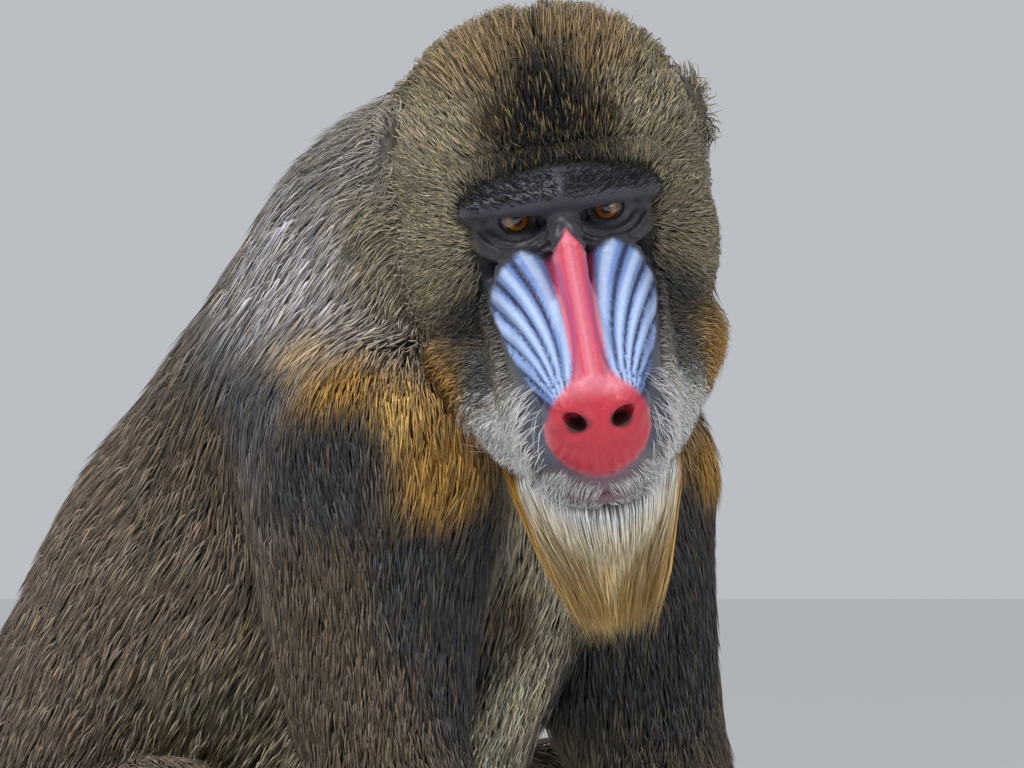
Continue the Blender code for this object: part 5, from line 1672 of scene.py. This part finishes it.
class MANDRILL_OT_head_coat(Operator):
    """Grow the fur of the crown, cheeks and throat and the crest"""

    bl_idname = "mandrill.head_coat"
    bl_label = "Head coat"

    def execute(self, context):
        skin = skin_arrays()
        coat = context.scene.mandrill_coat
        local = skin.coat.local
        head = skin.coat.region == 0
        up, ahead = local[:, 2], -local[:, 1]
        crest = head & (up > 0.034) & (ahead < -0.012)
        width = coat.tuft_width
        made = grow("coat_crest", skin, crest.astype(float), 38 * coat.fullness, width * 0.74, 2,
                    coat.seed + 40, length=coat.length, clump=0.45, gather=14, speckle=0.25)
        set_tufts(made, "crest")
        chin = (mouth_gap(local) < -0.003) & (ahead > 0.0) & (up < -0.125)
        rest = head & ~crest & ~chin
        front = ease(-0.075, -0.045, ahead)
        made = grow("coat_head", skin, rest * (0.40 + 0.60 * front), 70 * coat.fullness, width * 0.60, 1,
                    coat.seed + 41, length=coat.length, clump=0.20, gather=8, frizz=0.28, speckle=0.30)
        set_tufts(made, "coat")
        return {"FINISHED"}


class MANDRILL_OT_beard(Operator):
    """Grow the pointed beard under the chin"""

    bl_idname = "mandrill.beard"
    bl_label = "Beard"

    def execute(self, context):
        skin = skin_arrays()
        coat = context.scene.mandrill_coat
        draw = np.random.default_rng(coat.seed + 50)
        local = skin.coat.local
        chin = (skin.coat.region == 0) & (mouth_gap(local) < -0.0075)
        chin = chin & (local[:, 1] < 0.0) & (local[:, 2] < -0.128)
        made = grow("beard", skin, chin.astype(float), 56 * coat.fullness, coat.tuft_width * 0.90, 2,
                    coat.seed + 51, haired=False, region=0)
        count = len(made["roots"])
        roots = carried(made["roots"], TO_HEAD)
        goal = np.empty((count, 3))
        goal[:, 0] = roots[:, 0] * 0.30 + draw.normal(0, 0.0035, count)
        goal[:, 1] = -0.058 + (roots[:, 1] + 0.058) * 0.40 + draw.normal(0, 0.003, count)
        goal[:, 2] = -coat.beard_drop + draw.uniform(-0.004, 0.020, count)
        drop = 0.951 * roots[:, 2] + 0.309 * roots[:, 1]
        white = ease(-0.196, -0.176, drop + draw.normal(0, 0.004, count)) * ease(0.030, 0.060, -roots[:, 1])
        share = draw.uniform(0.62, 1.04, count) * (1 - 0.62 * white)
        way = goal - roots
        tips = roots + way * share[:, None]
        turn = np.array(TO_HEAD.to_3x3())
        normals = made["normals"] @ turn.T
        bend = roots + way * (share * 0.40)[:, None] + normals * (0.012 * share)[:, None]
        tips = clumped(roots, tips, 0.35, 12, draw)
        made["tips"] = carried(tips, HEAD_STANDS)
        made["bend"] = carried(bend, HEAD_STANDS)
        middle = (1 - ease(0.012, 0.030, np.abs(roots[:, 0])))[:, None]
        colour = linear(PAINT["gold"]) * middle + linear(PAINT["deep gold"]) * (1 - middle)
        colour = colour * (1 - white[:, None]) + linear(PAINT["white"]) * white[:, None]
        shade = draw.normal(1.0, 0.14, count).clip(0.6, 1.4)[:, None]
        made["colour"] = np.clip(colour * shade * 1.25, 0, 0.95)
        made["tip_paint"] = PAINT["honey"]
        set_tufts(made, "beard")
        return {"FINISHED"}


class MANDRILL_OT_whiskers(Operator):
    """Grow the white whiskers, the fine hairs of the lips and the down of the brow"""

    bl_idname = "mandrill.whiskers"
    bl_label = "Whiskers and down"

    def execute(self, context):
        skin = skin_arrays()
        coat = context.scene.mandrill_coat
        local, face = skin.coat.local, skin.coat.face
        head = skin.coat.region == 0
        side = np.sign(local[:, 0])
        above = mouth_gap(local) > 0.004
        beside = (face.drop < -0.094) & (face.across > 0.030) & (face.ahead > -0.006)
        under = (face.drop < -0.150) & (face.across > 0.020) & (local[:, 2] > -0.185)
        band = head & (beside | under)
        lie = self.lie(skin, side, 0.55, -0.40, -0.80)
        scale = coat.whisker_length / 0.020
        where = band * (0.12 + 0.88 * ease(0.034, 0.052, face.across))
        made = grow("whiskers", skin, where, 44 * coat.fullness, coat.tuft_width * 0.36, 2,
                    coat.seed + 60, haired=False, paint=PAINT["white"], lie=lie,
                    length=scale * 1.05, stand=0.95, frizz=0.30, clump=0.30)
        set_tufts(made, "down")
        front = (face.across < 0.045) & (face.ahead > 0.03)
        lip = head & above & (face.drop < -0.146) & front & (face.pad < 0.3)
        lower = head & (np.abs(mouth_gap(local) + 0.0070) < 0.0035) & (face.ahead > 0.03)
        lip = lip | lower
        made = grow("lip_hairs", skin, lip.astype(float), 40 * coat.fullness, coat.tuft_width * 0.24, 1,
                    coat.seed + 61, haired=False, paint=PAINT["white"],
                    lie=self.lie(skin, side, 0.60, 0.1, -1), length=0.85, stand=0.50, frizz=0.08, clump=0.0)
        set_tufts(made, "down")
        brow = head * face.brow * (face.across < 0.062)
        made = grow("brow_down", skin, brow, 60 * coat.fullness, coat.tuft_width * 0.30, 1, coat.seed + 62,
                    haired=False, paint=PAINT["jet"], lie=self.lie(skin, side, 0.8, -0.3, 0.4), length=0.42,
                    stand=0.20, frizz=0.25, clump=0.1)
        set_tufts(made, "down")
        return {"FINISHED"}

    def lie(self, skin, side, across, ahead, up):
        """One lie for both cheeks, in the frame of the room."""
        rows = np.stack([across * side, np.full(len(side), -ahead), np.full(len(side), up)], axis=1)
        return rows @ np.array(HEAD_STANDS.to_3x3()).T


class MANDRILL_OT_stage(Operator):
    """Set up the floor, the light and the camera"""

    bl_idname = "mandrill.stage"
    bl_label = "Stage"

    def execute(self, context):
        stage = context.scene.mandrill_stage
        scene = context.scene
        bm = bmesh.new()
        bmesh.ops.create_circle(bm, cap_ends=True, segments=96, radius=14.0)
        floor = object_from(bm, "floor")
        floor.data.materials.append(stage_material("pale floor", (0.93, 0.93, 0.92)))
        world = bpy.data.worlds.new("surroundings")
        world.use_nodes = True
        background = world.node_tree.nodes["Background"]
        background.inputs["Color"].default_value = (0.90, 0.94, 1.0, 1)
        background.inputs["Strength"].default_value = stage.sky
        scene.world = world
        toward = Vector((-0.743, -0.669, 0))
        right = Vector((0.669, -0.743, 0))
        eyes = EYES_AT + STAND_AT
        scale = 1680
        middle = eyes - right * (50 / scale) - Vector((0, 0, 167 / scale))
        lights = (
            ("key", 1.4, -1.1, 1.9, 1.5, stage.key_power),
            ("fill", 1.5, 1.8, 0.5, 1.6, stage.fill_power),
            ("back", -1.4, 0.0, 2.0, 1.2, stage.fill_power),
        )
        for name, ahead, across, up, size, power in lights:
            place = middle + toward * ahead + right * across + Vector((0, 0, up))
            self.light(name, place, middle, size, power)
        camera = bpy.data.objects.new("camera", bpy.data.cameras.new("camera"))
        scene.collection.objects.link(camera)
        camera.location = middle + toward * stage.distance
        camera.rotation_mode = "QUATERNION"
        camera.rotation_quaternion = (-toward).to_track_quat("-Z", "Y")
        camera.data.sensor_width = 36
        camera.data.lens = 36 * stage.distance * scale / 1024
        camera.data.clip_end = 100
        scene.camera = camera
        scene.view_settings.view_transform = "Standard"
        return {"FINISHED"}

    def light(self, name, place, target, size, power):
        lamp = bpy.data.lights.new(name, "AREA")
        lamp.shape = "DISK"
        lamp.size = size
        lamp.energy = power
        obj = bpy.data.objects.new(name, lamp)
        obj.location = place
        obj.rotation_mode = "QUATERNION"
        obj.rotation_quaternion = (target - place).to_track_quat("-Z", "Y")
        bpy.context.scene.collection.objects.link(obj)


OPERATORS = (
    MANDRILL_OT_skin,
    MANDRILL_OT_eyes,
    MANDRILL_OT_nails,
    MANDRILL_OT_body_coat,
    MANDRILL_OT_head_coat,
    MANDRILL_OT_beard,
    MANDRILL_OT_whiskers,
    MANDRILL_OT_stage,
)


class MANDRILL_PT_panel(Panel):
    """Lists the pieces of the mandrill and their settings"""

    bl_idname = "MANDRILL_PT_panel"
    bl_label = "Mandrill"
    bl_space_type = "VIEW_3D"
    bl_region_type = "UI"
    bl_category = "Mandrill"

    def draw(self, context):
        layout = self.layout
        for operator in OPERATORS:
            layout.operator(operator.bl_idname)
        scene = context.scene
        for group in (scene.mandrill_coat, scene.mandrill_colours, scene.mandrill_stage):
            box = layout.box()
            for name in group.__annotations__:
                box.prop(group, name)


CLASSES = (MandrillColours, MandrillCoat, MandrillStage, *OPERATORS, MANDRILL_PT_panel)


def register():
    for cls in CLASSES:
        bpy.utils.register_class(cls)
    bpy.types.Scene.mandrill_colours = PointerProperty(type=MandrillColours)
    bpy.types.Scene.mandrill_coat = PointerProperty(type=MandrillCoat)
    bpy.types.Scene.mandrill_stage = PointerProperty(type=MandrillStage)


def unregister():
    del bpy.types.Scene.mandrill_colours
    del bpy.types.Scene.mandrill_coat
    del bpy.types.Scene.mandrill_stage
    for cls in reversed(CLASSES):
        bpy.utils.unregister_class(cls)


def main():
    register()
    for made in (
        bpy.ops.mandrill.skin,
        bpy.ops.mandrill.eyes,
        bpy.ops.mandrill.nails,
        bpy.ops.mandrill.body_coat,
        bpy.ops.mandrill.head_coat,
        bpy.ops.mandrill.beard,
        bpy.ops.mandrill.whiskers,
        bpy.ops.mandrill.stage,
    ):
        made()


if __name__ == "__main__":
    main()
